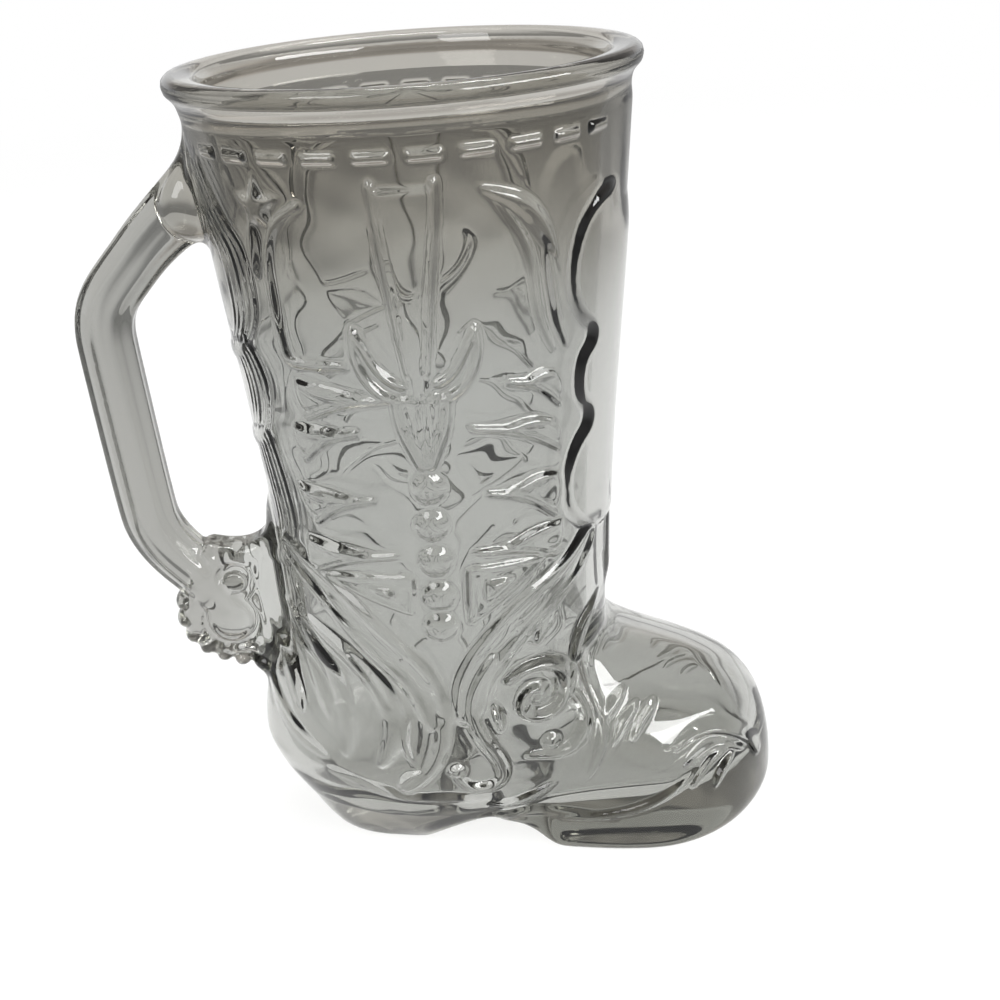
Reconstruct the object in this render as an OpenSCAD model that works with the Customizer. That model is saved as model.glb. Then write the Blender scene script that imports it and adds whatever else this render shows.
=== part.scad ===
// Beer mug in the shape of a western boot, pressed from clear glass.
// The toe points along +X, the handle is at -X, and the base stands on z = 0.
// The origin is on the base, below the axis of the round shaft.
// Angles on the shaft are measured from its side centre line, positive towards the toe.

/* [Mouth] */
// Height of the mug
overall_h = 160; // [140:1:180]
// How far the rolled lip stands out beyond the wall
lip_overhang = 2.6; // [1.9:0.1:4]
// Radius of the roll of the lip
lip_roll_r = 2.7; // [2.2:0.1:3]
// Height of the lip and the cove under it
rim_h = 9; // [7.5:0.1:12]

/* [Shaft] */
// Outside radius of the wall just below the lip
mouth_r = 41.9; // [40.5:0.1:44]
// Outside radius at the top of the straight taper
calf_r = 39.5; // [38:0.1:41]
// Outside radius at the bottom of the straight taper
shin_r = 34.2; // [33.6:0.1:36]
// Outside radius at the ankle
ankle_r = 33.3; // [32:0.1:33.6]
// Height of the ankle, where the foot begins
ankle_z = 48; // [46:0.5:52]
// Thickness of the shaft wall
wall = 4; // [3:0.1:5]

/* [Foot] */
// Reach of the toe in front of the shaft axis
toe_reach = 67.7; // [63:0.1:74]
// Reach of the heel counter behind the shaft axis
heel_reach = 41.4; // [40:0.1:43]
// Width across the ball of the foot
ball_w = 57.4; // [54:0.1:60]
// Width across the heel counter
heel_w = 55; // [52:0.1:58]
// Height of the instep where it meets the shaft
instep_z = 46; // [42:0.5:48]
// Thickness of the glass around the foot
foot_wall = 4.6; // [3.5:0.1:6]
// Height of the floor inside the foot
floor_z = 8.5; // [7:0.1:11]
// Height of the arch between heel and sole
arch_h = 4.5; // [3:0.1:5.5]
// Rounding of the lower edge of the sole
sole_round = 4.5; // [3:0.1:6]

/* [Handle] */
// Diameter of the round handle bar
bar_d = 11.4; // [9:0.1:12.5]
// Distance from the wall at the mouth to the upper corner of the bar's axis
upper_corner_reach = 21.2; // [18:0.1:25]
// Depth of the upper corner below the top of the lip
upper_corner_drop = 44.4; // [41:0.1:48]
// Distance from the ankle to the lower corner of the bar's axis
lower_corner_reach = 26.2; // [24.7:0.1:28.7]
// Height of the lower corner above the ankle
lower_corner_rise = 20; // [18:0.1:24]
// Bend radius of the two elbows, on the axis of the bar
elbow_r = 9; // [7:0.1:12]
// Slope of the upper arm, in degrees
upper_slope = 44.5; // [40:0.5:48]
// Slope of the lower arm, in degrees
lower_slope = 50; // [46:0.5:54]

/* [Spur] */
// Diameter of the rowel
rowel_d = 18; // [16:0.1:19]
// Thickness of the rowel between its faces
rowel_t = 12; // [11.6:0.1:14]
// Distance from the ankle to the rowel centre
rowel_reach = 14.1; // [13.2:0.1:15.2]
// Depth of the rowel centre below the top of the ankle
rowel_drop = 0.4; // [0:0.1:1.5]
// Diameter of one tooth on the edge of the rowel
tooth_d = 4.2; // [3:0.1:5]
// Number of teeth on the free edge of the rowel
tooth_count = 8; // [5:1:9]

/* [Relief] */
// Height of the raised ornament
relief_h = 1.1; // [0.6:0.1:1.6]
// Height of the plain strip down the front
strip_h = 1.3; // [0.8:0.1:1.8]
// Width of the raised piping lines
piping_w = 1.5; // [1:0.1:2.2]
// Number of stitches around the shaft
stitch_count = 29; // [24:1:32]
// Length of one stitch
stitch_l = 7.4; // [5:0.1:8]
// Width of one stitch
stitch_w = 2.6; // [1.8:0.1:3.2]
// Radius of one round stud
stud_r = 2.9; // [2:0.1:3.3]
// Height from one stud to the next
stud_pitch = 7.3; // [6.8:0.1:7.6]
// Span of the steer head across the ears
head_span = 23; // [18:0.5:26]
// Height of the steer head
head_h = 24.5; // [20:0.5:27]
// Height of the pull strap
strap_h = 30; // [26:0.5:31]
// Radius of the spiral scroll at the ankle
scroll_r = 7; // [5:0.1:8]

/* [Hidden] */
$fn = 96;
glass = [0.72, 0.74, 0.73, 0.6];
thick_glass = [0.55, 0.57, 0.55, 0.7];
bright_glass = [0.85, 0.87, 0.86, 0.8];

// A cut that has to pass a surface goes this far beyond it
overrun = 1;
// Gap to a faceted surface that a flat-sided piece is seated on
seat_gap = 0.15;
// Sides of the body: -1 is the right side of the boot, 1 the left
right = -1;
left = 1;

// Levels of the shaft
neck_z = overall_h - rim_h;
shaft_h = neck_z - ankle_z;
shin_level_share = 0.214;
calf_level_share = 0.748;
shin_z = ankle_z + shin_level_share * shaft_h;
calf_z = ankle_z + calf_level_share * shaft_h;
wall_keys = [[ankle_z, ankle_r], [shin_z, shin_r], [calf_z, calf_r], [neck_z, mouth_r]];
function wall_r(z) = lookup(z, wall_keys);

// Levels and plan of the foot
widest_z_share = 0.167;
ball_x_share = 0.583;
waist_share = 0.767;
heel_lobe_share = 0.29;
widest_z = widest_z_share * ankle_z;
ball_x = ball_x_share * toe_reach;
waist_half = waist_share * ball_w / 2;
heel_lobe_x = heel_lobe_share * heel_reach;
split_share = 0.18;
heel_front_share = 0.08;
sole_back_share = 0.39;
split_x = split_share * ankle_r;
heel_front_x = heel_front_share * ankle_r;
sole_back_x = sole_back_share * ankle_r;

// Smooth curve through keys of [place, value], without overshoot
function key_at(keys, t, i = 0) =
    i >= len(keys) - 2 || t < keys[i + 1][0] ? i : key_at(keys, t, i + 1);
function slope(keys, i) = (keys[i + 1][1] - keys[i][1]) / (keys[i + 1][0] - keys[i][0]);
function mean_slope(a, b) = a * b <= 0 ? 0 : 2 * a * b / (a + b);
function tangent(keys, i) = i == 0 ? slope(keys, 0)
    : i == len(keys) - 1 ? slope(keys, i - 1)
    : mean_slope(slope(keys, i - 1), slope(keys, i));
function smooth_curve(keys, place) =
    let (t = min(max(place, keys[0][0]), keys[len(keys) - 1][0]), i = key_at(keys, t),
        d = keys[i + 1][0] - keys[i][0], s = (t - keys[i][0]) / d)
    (2 * s ^ 3 - 3 * s ^ 2 + 1) * keys[i][1] + (s ^ 3 - 2 * s ^ 2 + s) * d * tangent(keys, i)
    + (3 * s ^ 2 - 2 * s ^ 3) * keys[i + 1][1] + (s ^ 3 - s ^ 2) * d * tangent(keys, i + 1);
function ease(t) = let (s = min(max(t, 0), 1)) s * s * (3 - 2 * s);

// Foot profiles, as shares of the ankle height and of the sizes that they follow
ankle_core_shares = [[0, 0.54], [0.083, 0.645], [0.167, 0.72], [0.3125, 0.826],
    [0.52, 0.9], [0.75, 0.961], [1, 1]];
heel_back_shares = [[0, 0.713], [0.0625, 0.761], [0.167, 0.829], [0.25, 0.889],
    [0.354, 0.957], [0.479, 1], [0.625, 0.981], [0.79, 0.923], [1, 0.804]];
heel_side_shares = [[0, 0.6], [0.0625, 0.676], [0.167, 0.775], [0.292, 0.88],
    [0.479, 0.98], [0.708, 1], [0.86, 0.85], [1, 0]];
ridge_shares = [[0.295, 1.13], [0.443, 0.985], [0.532, 0.853], [0.62, 0.783],
    [0.739, 0.711], [0.827, 0.659], [0.886, 0.613], [0.93, 0.552], [0.9675, 0.45],
    [0.99, 0.315], [1, 0.174]];
blend_power = 8;
dome_power = 2.4;
crown_drop_share = 1.15;

function level(z) = z / ankle_z;
function core_r(z, t) = ankle_r * smooth_curve(ankle_core_shares, level(z)) - t;
function back_reach(z, t) =
    max(heel_reach * smooth_curve(heel_back_shares, level(z)), core_r(z, 0)) - t;
function sole_inset(z) =
    z < sole_round ? sole_round - sqrt(sole_round ^ 2 - (sole_round - z) ^ 2) : 0;
function ridge_z(x, t) =
    let (place = x / (toe_reach - t), top = instep_z * smooth_curve(ridge_shares, place))
    widest_z + (top - widest_z) * (1 - crown_drop_share * t / (instep_z - widest_z));
function heel_half(x, z, t) =
    let (half = heel_w / 2 * smooth_curve(heel_side_shares, level(z)) - t,
        depth = back_reach(z, t) - heel_lobe_x)
    half <= 0 ? 0
    : x < -heel_lobe_x ? half * sqrt(max(0, 1 - ((x + heel_lobe_x) / depth) ^ 2))
    : half * max(0, 1 - ((x + heel_lobe_x) / ankle_r) ^ 2);
function plan_half(x, half, reach) =
    x > ball_x ? half * sqrt(max(0, 1 - ((x - ball_x) / (reach - ball_x)) ^ 2))
    : waist_half + (half - waist_half) * ease(x / ball_x);
function toe_half(x, z, t) =
    let (inset = t + sole_inset(z), rise = max(0, (z - widest_z) / (ridge_z(x, t) - widest_z)))
    x <= 0 || rise >= 1 || x >= toe_reach - inset ? 0
    : plan_half(x, ball_w / 2 - inset, toe_reach - inset) * ease(x / (2 * sole_round))
        * (1 - rise ^ dome_power) ^ (1 / dome_power);
function core_half(x, z, t) = sqrt(max(0, core_r(z, t) ^ 2 - x ^ 2));
// Half width of the foot at a place along it and a height, inset by a wall
function half_w(x, z, t = 0) =
    (core_half(x, z, t) ^ blend_power + heel_half(x, z, t) ^ blend_power
        + toe_half(x, z, t) ^ blend_power) ^ (1 / blend_power);
function ridge_reach(z, t, near, far, steps) =
    let (mid = (near + far) / 2)
    steps == 0 ? near
    : ridge_z(mid, t) > z ? ridge_reach(z, t, mid, far, steps - 1)
    : ridge_reach(z, t, near, mid, steps - 1);
function front_reach(z, t) = z <= widest_z ? toe_reach - t - sole_inset(z)
    : max(core_r(z, t), ridge_reach(z, t, ankle_r / 2, toe_reach - t, 16));

// Half of a level ring of the foot, from the right side round its end to the left side
ring_steps = 11;
function half_ring(z, t, from_x, end_x) =
    [for (i = [-ring_steps:ring_steps])
        let (x = from_x + (end_x - from_x) * cos(90 * i / ring_steps))
        [x, i == 0 ? 0 : sign(i) * half_w(x, z, t), z]];
function end_x(z, t, dir) = dir > 0 ? front_reach(z, t) : -back_reach(z, t);

// Faces that join one loop of points to the next, and flat ends of such a stack
function side_faces(loops, size) =
    [for (k = [0:loops - 2], i = [0:size - 1], half = [0, 1])
        let (j = (i + 1) % size, a = k * size, b = a + size)
        half == 0 ? [a + i, b + j, a + j] : [a + i, b + i, b + j]];
function strip_face(size, base, up) =
    [for (i = [0:size / 2 - 2], half = [0, 1])
        let (o = size - 1 - i, f = half == 0 ? [i, i + 1, o - 1] : [i, o - 1, o])
        [for (n = up ? [f[0], f[2], f[1]] : f) base + n]];

// Hollow piece of the foot between the floor and the ankle, on one side of the split
module foot_shell(levels, dir) {
    loops = [for (z = levels)
        let (outer = half_ring(z, 0, split_x, end_x(z, 0, dir)),
            inner = half_ring(z, z == ankle_z ? wall : foot_wall, split_x,
                end_x(z, z == ankle_z ? wall : foot_wall, dir)))
        concat(outer, [for (i = [len(inner) - 1:-1:0]) inner[i]])];
    size = len(loops[0]);
    points = [for (loop = loops, p = loop) p];
    faces = concat(side_faces(len(levels), size), strip_face(size, 0, false),
        strip_face(size, (len(levels) - 1) * size, true));
    polyhedron(points, dir > 0 ? faces : [for (f = faces) [f[0], f[2], f[1]]]);
}

// Solid piece of the foot below the floor, from a flat front or back to its round end
module foot_solid(levels, from_x, dir, t = 0) {
    loops = [for (z = levels) half_ring(z, t, from_x, end_x(z, t, dir))];
    size = len(loops[0]);
    points = [for (loop = loops, p = loop) p];
    last = (len(levels) - 1) * size;
    faces = concat(side_faces(len(levels), size),
        [[for (i = [0:size - 1]) i]], [[for (i = [size - 1:-1:0]) last + i]]);
    polyhedron(points, dir > 0 ? faces : [for (f = faces) [for (i = [len(f) - 1:-1:0]) f[i]]]);
}

// Levels at which the foot's rings lie
lower_levels = [for (s = [0, 0.13, 0.35, 0.65, 1]) s * sole_round];
floor_levels = concat(lower_levels, [floor_z]);
shell_shares = [0, 0.05, 0.12, 0.19, 0.26, 0.33, 0.4, 0.48, 0.56, 0.63, 0.7, 0.76, 0.82,
    0.88, 0.94, 1];
shell_levels = [for (s = shell_shares) floor_z + s * (ankle_z - floor_z)];

// Solid of revolution from a profile of [radius, height]
module turned(profile) { rotate_extrude() polygon(profile); }
// All of the shaft's inside and wall, for cutting what is seated on it
module shaft_mass() {
    turned(concat([[0, ankle_z]], [for (k = wall_keys) [k[1], k[0]]], [[0, neck_z]]));
}
// Thin layer on the outside of the shaft wall, in which the ornament lies
module skin(h) {
    turned(concat([for (k = wall_keys) [k[1], k[0]]],
        [for (i = [len(wall_keys) - 1:-1:0]) [wall_keys[i][1] + h, wall_keys[i][0]]]));
}
// Ornament drawn on the side of the shaft: what lies inside the children's outline
module side_relief(side, h) {
    intersection() {
        skin(h);
        rotate([90, 0, 0]) translate([0, 0, side < 0 ? 0 : -2 * mouth_r])
            linear_extrude(2 * mouth_r) children();
    }
}
// Place on the side of the shaft: angle from the centre line, and share of its height
function spot(place) = let (z = ankle_z + place[1] * shaft_h) [wall_r(z) * sin(place[0]), z];
function spots(places) = [for (p = places) spot(p)];

// Smooth outlines
function curve(a, b, c, steps) =
    [for (i = [0:steps]) let (t = i / steps) (1 - t) ^ 2 * a + 2 * t * (1 - t) * b + t ^ 2 * c];
function along(path, i) =
    let (d = path[min(i + 1, len(path) - 1)] - path[max(i - 1, 0)]) d / norm(d);
function across(path, i) = let (d = along(path, i)) [-d[1], d[0]];
function swell(t, thin) = thin + (1 - thin) * sqrt(sin(180 * t));
function ribbon(path, w, thin) =
    let (n = len(path) - 1,
        half = [for (i = [0:n]) across(path, i) * w / 2 * swell(i / n, thin)])
    concat([for (i = [0:n]) path[i] + half[i]], [for (i = [n:-1:0]) path[i] - half[i]]);
// Tongue from two places on its root to its tip, with hollow sides
function tongue(low, high, tip, pinch, steps) =
    let (root = (low + high) / 2, low_mid = (low + tip) / 2, high_mid = (high + tip) / 2,
        mid = (root + tip) / 2)
    concat(curve(low, low_mid + pinch * (mid - low_mid), tip, steps),
        curve(tip, high_mid + pinch * (mid - high_mid), high, steps));

// Lip
lip_r = mouth_r + lip_overhang - lip_roll_r;
lip_z = overall_h - lip_roll_r;
mouth_in_r = mouth_r - wall;
lip_in_share = 0.6;
lip_in_round = lip_in_share * lip_roll_r;
lip_under_angle = 60;
cove_r = lip_z - lip_roll_r * sin(lip_under_angle) - neck_z;
cove_shares = [[0.03, 0.35], [0.12, 0.7]];
arc_steps = 8;
function arc(x, z, r, from, to) =
    [for (i = [0:arc_steps]) let (a = from + (to - from) * i / arc_steps)
        [x + r * cos(a), z + r * sin(a)]];
module rim_lip() {
    color(bright_glass) turned(concat(
        [[mouth_in_r, neck_z], [mouth_r, neck_z]],
        [for (s = cove_shares) [mouth_r, neck_z] + cove_r * s],
        arc(lip_r, lip_z, lip_roll_r, -lip_under_angle, 90),
        arc(mouth_in_r + lip_in_round, overall_h - lip_in_round, lip_in_round, 90, 180)));
}
module shaft_wall() {
    color(glass) turned(concat([for (k = wall_keys) [k[1], k[0]]],
        [for (i = [len(wall_keys) - 1:-1:0]) [wall_keys[i][1] - wall, wall_keys[i][0]]]));
}

// Foot
module toe_box() { color(thick_glass) foot_shell(shell_levels, 1); }
module heel_counter() { color(thick_glass) foot_shell(shell_levels, -1); }
module heel_base() { color(thick_glass) foot_solid(floor_levels, heel_front_x, -1); }
module outsole() { color(thick_glass) foot_solid(floor_levels, sole_back_x, 1); }
module arch_shank() {
    steps = 6;
    xs = [for (i = [0:steps]) heel_front_x + (sole_back_x - heel_front_x) * i / steps];
    color(thick_glass) translate([0, 0, arch_h]) linear_extrude(floor_z - arch_h) polygon(concat(
        [for (x = xs) [x, -half_w(x, floor_z)]],
        [for (i = [steps:-1:0]) [xs[i], half_w(xs[i], floor_z)]]));
}

// Handle: two corners, two elbows, and bars between them, in the plane y = 0
upper_corner_x = mouth_r + upper_corner_reach;
upper_corner_z = overall_h - upper_corner_drop;
lower_corner_x = ankle_r + lower_corner_reach;
lower_corner_z = ankle_z + lower_corner_rise;
upper_corner = [-upper_corner_x, upper_corner_z];
lower_corner = [-lower_corner_x, lower_corner_z];
down = (lower_corner - upper_corner) / norm(lower_corner - upper_corner);
to_shaft = [cos(upper_slope), sin(upper_slope)];
to_spur = [cos(lower_slope), -sin(lower_slope)];
function turn(u, v) = acos(u * v);
function setback(u, v) = elbow_r * tan(turn(u, v) / 2);
upper_start = upper_corner + to_shaft * setback(-down, to_shaft);
grip_start = upper_corner + down * setback(-down, to_shaft);
grip_end = lower_corner - down * setback(down, to_spur);
lower_start = lower_corner + to_spur * setback(down, to_spur);
root_swell_share = 1.15;
root_r = root_swell_share * bar_d / 2;
arm_l = (root_r - mouth_r - upper_start[0]) / to_shaft[0];
module bar(from, dir, l, r1, r2) {
    translate([from[0], 0, from[1]]) rotate([0, atan2(dir[0], dir[1]), 0])
        cylinder(h = l, r1 = r1, r2 = r2);
}
module elbow(from, centre_dir, u, v) {
    centre = from + centre_dir * elbow_r;
    a = atan2(from[1] - centre[1], from[0] - centre[0]);
    clockwise = u[0] * v[1] - u[1] * v[0] < 0;
    translate([centre[0], 0, centre[1]]) rotate([90, 0, 0])
        rotate_extrude(angle = turn(u, v), start = clockwise ? a - turn(u, v) : a)
            translate([elbow_r, 0]) circle(bar_d / 2);
}
module upper_bar() { bar(upper_start, to_shaft, arm_l, bar_d / 2, root_r); }
module lower_bar() { bar(lower_start, to_spur, norm(lower_start - rowel), bar_d / 2, bar_d / 2); }
module upper_arm() { color(glass) difference() { upper_bar(); shaft_mass(); } }
module upper_elbow() { color(glass) elbow(grip_start, [-down[1], down[0]], -down, to_shaft); }
module grip() {
    color(glass) bar(grip_start, down, norm(grip_end - grip_start), bar_d / 2, bar_d / 2);
}
module lower_elbow() { color(glass) elbow(grip_end, [-down[1], down[0]], down, to_spur); }
module lower_arm() { color(glass) difference() { lower_bar(); rowel_body(overrun); } }
// Flared collar where the upper arm grows out of the shaft
lug_start_share = 1.02;
lug_end_share = 2.5;
lug_reach_share = 0.75;
lug_root = upper_corner + to_shaft * (upper_corner_x - wall_r(upper_corner_z + bar_d)) / to_shaft[0];
module handle_lug() {
    color(glass) difference() {
        bar(lug_root - to_shaft * lug_reach_share * bar_d, to_shaft, arm_l / 2,
            lug_start_share * bar_d / 2, lug_end_share * bar_d / 2);
        translate([-2 * upper_corner_x, -2 * bar_d, stitch_z - stitch_w])
            cube([2 * upper_corner_x, 4 * bar_d, overall_h]);
        upper_bar();
        shaft_mass();
    }
}

// Spur at the back of the ankle
rowel_x = ankle_r + rowel_reach;
rowel_z = ankle_z - rowel_drop;
rowel = [-rowel_x, rowel_z];
rowel_round_share = 0.16;
rowel_round = rowel_round_share * rowel_t;
module rowel_body(extra = 0) {
    half = rowel_t / 2;
    translate([rowel[0], 0, rowel[1]]) rotate([90, 0, 0]) rotate_extrude()
        polygon([[0, -half - extra], [rowel_d / 2 - rowel_round, -half - extra],
            [rowel_d / 2 - rowel_round, -half], [rowel_d / 2, rowel_round - half],
            [rowel_d / 2, half - rowel_round], [rowel_d / 2 - rowel_round, half],
            [rowel_d / 2 - rowel_round, half + extra], [0, half + extra]]);
}
module spur_rowel() { color(glass) rowel_body(); }
first_tooth_angle = 172;
last_tooth_angle = 290;
tooth_sink_share = 0.15;
module rowel_teeth() {
    reach = rowel_d / 2 - tooth_sink_share * tooth_d;
    color(bright_glass) difference() {
        for (i = [0:tooth_count - 1]) {
            a = first_tooth_angle + (last_tooth_angle - first_tooth_angle) * i / (tooth_count - 1);
            translate([rowel[0], 0, rowel[1]] + reach * [cos(a), 0, sin(a)]) rotate([90, 0, 0])
                cylinder(h = rowel_t - 4 * rowel_round, r = tooth_d / 2, center = true);
        }
        rowel_body();
    }
}
// Round dome that stands on a face whose outward normal is along Y
module dome(r, rise, depth, side) {
    rotate([side < 0 ? 90 : -90, 0, 0])
        turned([[0, -depth], [r, -depth], for (a = [0:15:90]) [r * cos(a), rise * sin(a)]]);
}
// Two domes on each face of the rowel: place and radius
lens_shares = [[0.23, 0.05, 0.52], [0.43, 0.96, 0.35]];
lens_rise_share = 0.3;
module rowel_lens(side) {
    color(bright_glass) for (lens = lens_shares) {
        r = lens[2] * rowel_d / 2;
        translate([rowel[0] + lens[0] * rowel_d / 2, side * rowel_t / 2,
            rowel[1] + lens[1] * rowel_d / 2]) dome(r, lens_rise_share * r, 0, side);
    }
}

module right_rowel_lens() { rowel_lens(right); }
module left_rowel_lens() { rowel_lens(left); }
// Web that joins the lower arm and the rowel to the back of the boot
crotch_share = 0.7;
crotch_up_share = 1.3;
crotch_out_share = 0.85;
shank_drop_share = 0.44;
crotch_angle = 150;
crotch_r = crotch_share * bar_d;
crotch_z = rowel_z + crotch_up_share * rowel_d;
crotch_x = -(wall_r(crotch_z) + crotch_out_share * crotch_r);
module heel_mass() {
    foot_solid([for (z = shell_levels) if (z > rowel_z - rowel_d) z], split_x, -1, -seat_gap);
}
module spur_shank() {
    low = rowel_z - shank_drop_share * rowel_d;
    inside_x = wall / 2 - ankle_r;
    color(glass) difference() {
        translate([0, rowel_t / 2, 0]) rotate([90, 0, 0]) linear_extrude(rowel_t) polygon(concat(
            [[inside_x, crotch_z]],
            arc(crotch_x, crotch_z, crotch_r, 0, -crotch_angle),
            [lower_start, rowel, [-rowel_x, low], [inside_x, low]]));
        lower_bar();
        rowel_body(overrun);
        shaft_mass();
        heel_mass();
    }
}

// Stitches round the shaft, one of them over the front seam
stitch_z = neck_z - stitch_w;
stitch_corner_share = 0.3;
module stitch_row() {
    end = stitch_corner_share * stitch_w;
    color(bright_glass) intersection() {
        skin(relief_h);
        for (i = [0:stitch_count - 1]) rotate([0, 0, 360 * i / stitch_count])
            translate([0, 0, stitch_z]) rotate([90, 0, 90]) linear_extrude(2 * mouth_r) polygon([
                [-stitch_l / 2, end - stitch_w / 2], [end - stitch_l / 2, -stitch_w / 2],
                [stitch_l / 2 - end, -stitch_w / 2], [stitch_l / 2, end - stitch_w / 2],
                [stitch_l / 2, stitch_w / 2 - end], [stitch_l / 2 - end, stitch_w / 2],
                [end - stitch_l / 2, stitch_w / 2], [-stitch_l / 2, stitch_w / 2 - end]]);
    }
}
// Plain strip down the front, with scalloped edges: angles and height shares of its edge
strip_edge_shares = [[88, 0.895], [74, 0.885], [60, 0.864], [50, 0.825], [46, 0.767], [44, 0.7],
    [45, 0.65], [51, 0.617], [48, 0.57], [47, 0.515], [49, 0.466], [56, 0.43], [50, 0.385],
    [46, 0.34], [45, 0.291], [47, 0.243], [53, 0.2], [60, 0.15], [63, 0.08], [66, 0.02],
    [88, 0.015]];
module front_strip() {
    edge = [for (p = strip_edge_shares)
        let (z = ankle_z + p[1] * shaft_h) [wall_r(z) * cos(p[0]), z]];
    color(glass) intersection() {
        skin(strip_h);
        rotate([90, 0, 90]) linear_extrude(2 * mouth_r) polygon(concat(edge,
            [for (i = [len(edge) - 1:-1:0]) [-edge[i][0], edge[i][1]]]));
    }
}
// Scalloped ribbons on both sides of the handle
back_edge_shares = [[[-50, 0.85], [-41, 0.75], [-54, 0.64]], [[-53, 0.62], [-43, 0.53], [-55, 0.44]],
    [[-54, 0.42], [-44, 0.33], [-56, 0.24]]];
module back_border() {
    color(glass) for (side = [right, left])
        side_relief(side, relief_h) for (lobe = back_edge_shares)
            polygon(ribbon(curve(spot(lobe[0]), spot(lobe[1]), spot(lobe[2]), 6),
                2 * piping_w, 0.2));
}

// Side ornament, the same on both sides of the boot
panel_share = -0.045;
strap_top_share = 0.922;
strap_half_shares = [0.19, 0.09];
strap_trim_share = 0.8;
panel_x = panel_share * ankle_r;
strap_top_z = ankle_z + strap_top_share * shaft_h;
function strap_outline(trim) =
    let (top = strap_half_shares[0] * strap_h - trim, foot = strap_half_shares[1] * strap_h - trim,
        high = strap_top_z - trim, low = strap_top_z - strap_h + trim)
    [[panel_x - top, high], [panel_x + top, high], [panel_x + foot, low], [panel_x - foot, low]];
module pull_strap(side) {
    color(glass) side_relief(side, relief_h) difference() {
        polygon(strap_outline(0));
        polygon(strap_outline(strap_trim_share * piping_w));
    }
}
head_top_share = 0.68;
head_top_z = ankle_z + head_top_share * shaft_h;
face_shares = [[0.08, 0.26], [0.19, 0.4], [0.17, 0.55], [0.1, 0.8], [0.065, 0.92], [0.04, 1]];
ear_shares = [[0.15, 0.4], [0.4, 0.44], [0.5, 0], [0.36, 0.08], [0.1, 0.3]];
function head_place(p, flip) = [panel_x + flip * p[0] * head_span, head_top_z - p[1] * head_h];
module steer_head(side) {
    color(bright_glass) side_relief(side, relief_h * 1.2) {
        polygon(concat([for (p = face_shares) head_place(p, 1)],
            [for (i = [len(face_shares) - 1:-1:0]) head_place(face_shares[i], -1)]));
        for (flip = [-1, 1]) {
            e = [for (p = ear_shares) head_place(p, flip)];
            polygon(concat(curve(e[0], e[1], e[2], 5), curve(e[2], e[3], e[4], 4)));
        }
    }
}
top_stud_share = 0.373;
top_stud_z = ankle_z + top_stud_share * shaft_h;
stud_rise_share = 0.4;
module studs(side) {
    color(bright_glass) difference() {
        for (i = [0:4]) {
            z = top_stud_z - i * stud_pitch;
            translate([panel_x, side * wall_r(z), z])
                dome(stud_r, stud_rise_share * stud_r, wall / 2, side);
        }
        shaft_mass($fn = 2 * $fn);
    }
}
// Tongues that reach into the panel: lower root, upper root and tip of each
front_flame_shares = [[[38, 0.57], [38, 0.61], [24, 0.592]], [[38, 0.43], [38, 0.51], [10, 0.49]],
    [[40, 0.29], [40, 0.38], [15, 0.364]], [[39.5, 0.215], [40, 0.275], [10, 0.247]]];
back_flame_shares = [[[-27, 0.51], [-27, 0.545], [-9.5, 0.557]],
    [[-47, 0.44], [-47, 0.5], [-22.5, 0.493]], [[-46, 0.325], [-46, 0.4], [-20, 0.37]],
    [[-43, 0.21], [-44, 0.28], [-14, 0.247]]];
flame_pinch_share = 0.5;
module flames(side, tips) {
    color(glass) side_relief(side, relief_h) for (t = tips)
        polygon(tongue(spot(t[0]), spot(t[1]), spot(t[2]), flame_pinch_share, 4));
}
triangle_shares = [[[-28, 0.184], [-11, 0.2], [-11, 0.12]], [[9, 0.2], [32, 0.205], [9, 0.11]]];
frame_inset_share = 0.62;
module triangles(side) {
    color(glass) side_relief(side, relief_h) for (t = triangle_shares) {
        corners = spots(t);
        centre = (corners[0] + corners[1] + corners[2]) / 3;
        difference() {
            polygon(corners);
            polygon([for (c = corners) centre + frame_inset_share * (c - centre)]);
        }
    }
}
// Broad band that runs down both sides of the studs to the ankle
yoke_shares = [[[46, 0.195], [20, 0.12], [4, 0.03]], [[-48, 0.185], [-20, 0.1], [-5.5, 0.025]]];
yoke_w = 3 * piping_w;
module yoke(side) {
    color(glass) side_relief(side, relief_h) for (arm = yoke_shares)
        polygon(ribbon(curve(spot(arm[0]), spot(arm[1]), spot(arm[2]), 6), yoke_w, 0.45));
}
star_place_share = [-38, 0.88];
star_share = 0.85;
star_notch_share = 0.45;
star_r = star_share * stitch_l;
module star(side) {
    c = spot(star_place_share);
    color(bright_glass) side_relief(side, relief_h) polygon([for (i = [0:9])
        let (r = i % 2 == 0 ? star_r : star_notch_share * star_r)
        c + r * [sin(36 * i), cos(36 * i)]]);
}
swag_shares = [[18, 0.91], [30, 0.9], [38, 0.775]];
module swag(side) {
    color(glass) side_relief(side, relief_h)
        polygon(ribbon(curve(spot(swag_shares[0]), spot(swag_shares[1]), spot(swag_shares[2]), 6),
            2.2 * piping_w, 0.1));
}
edge_shares = [[-31, 0.83], [-39, 0.79], [-39.5, 0.645], [-36, 0.62], [-20, 0.612]];
module panel_edge(side) {
    e = spots(edge_shares);
    color(glass) side_relief(side, relief_h) polygon(ribbon(
        concat(curve(e[0], e[1], (e[1] + e[2]) / 2, 3), [e[2]], [e[3], (e[3] + e[4]) / 2, e[4]]),
        piping_w, 0.5));
}

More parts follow.
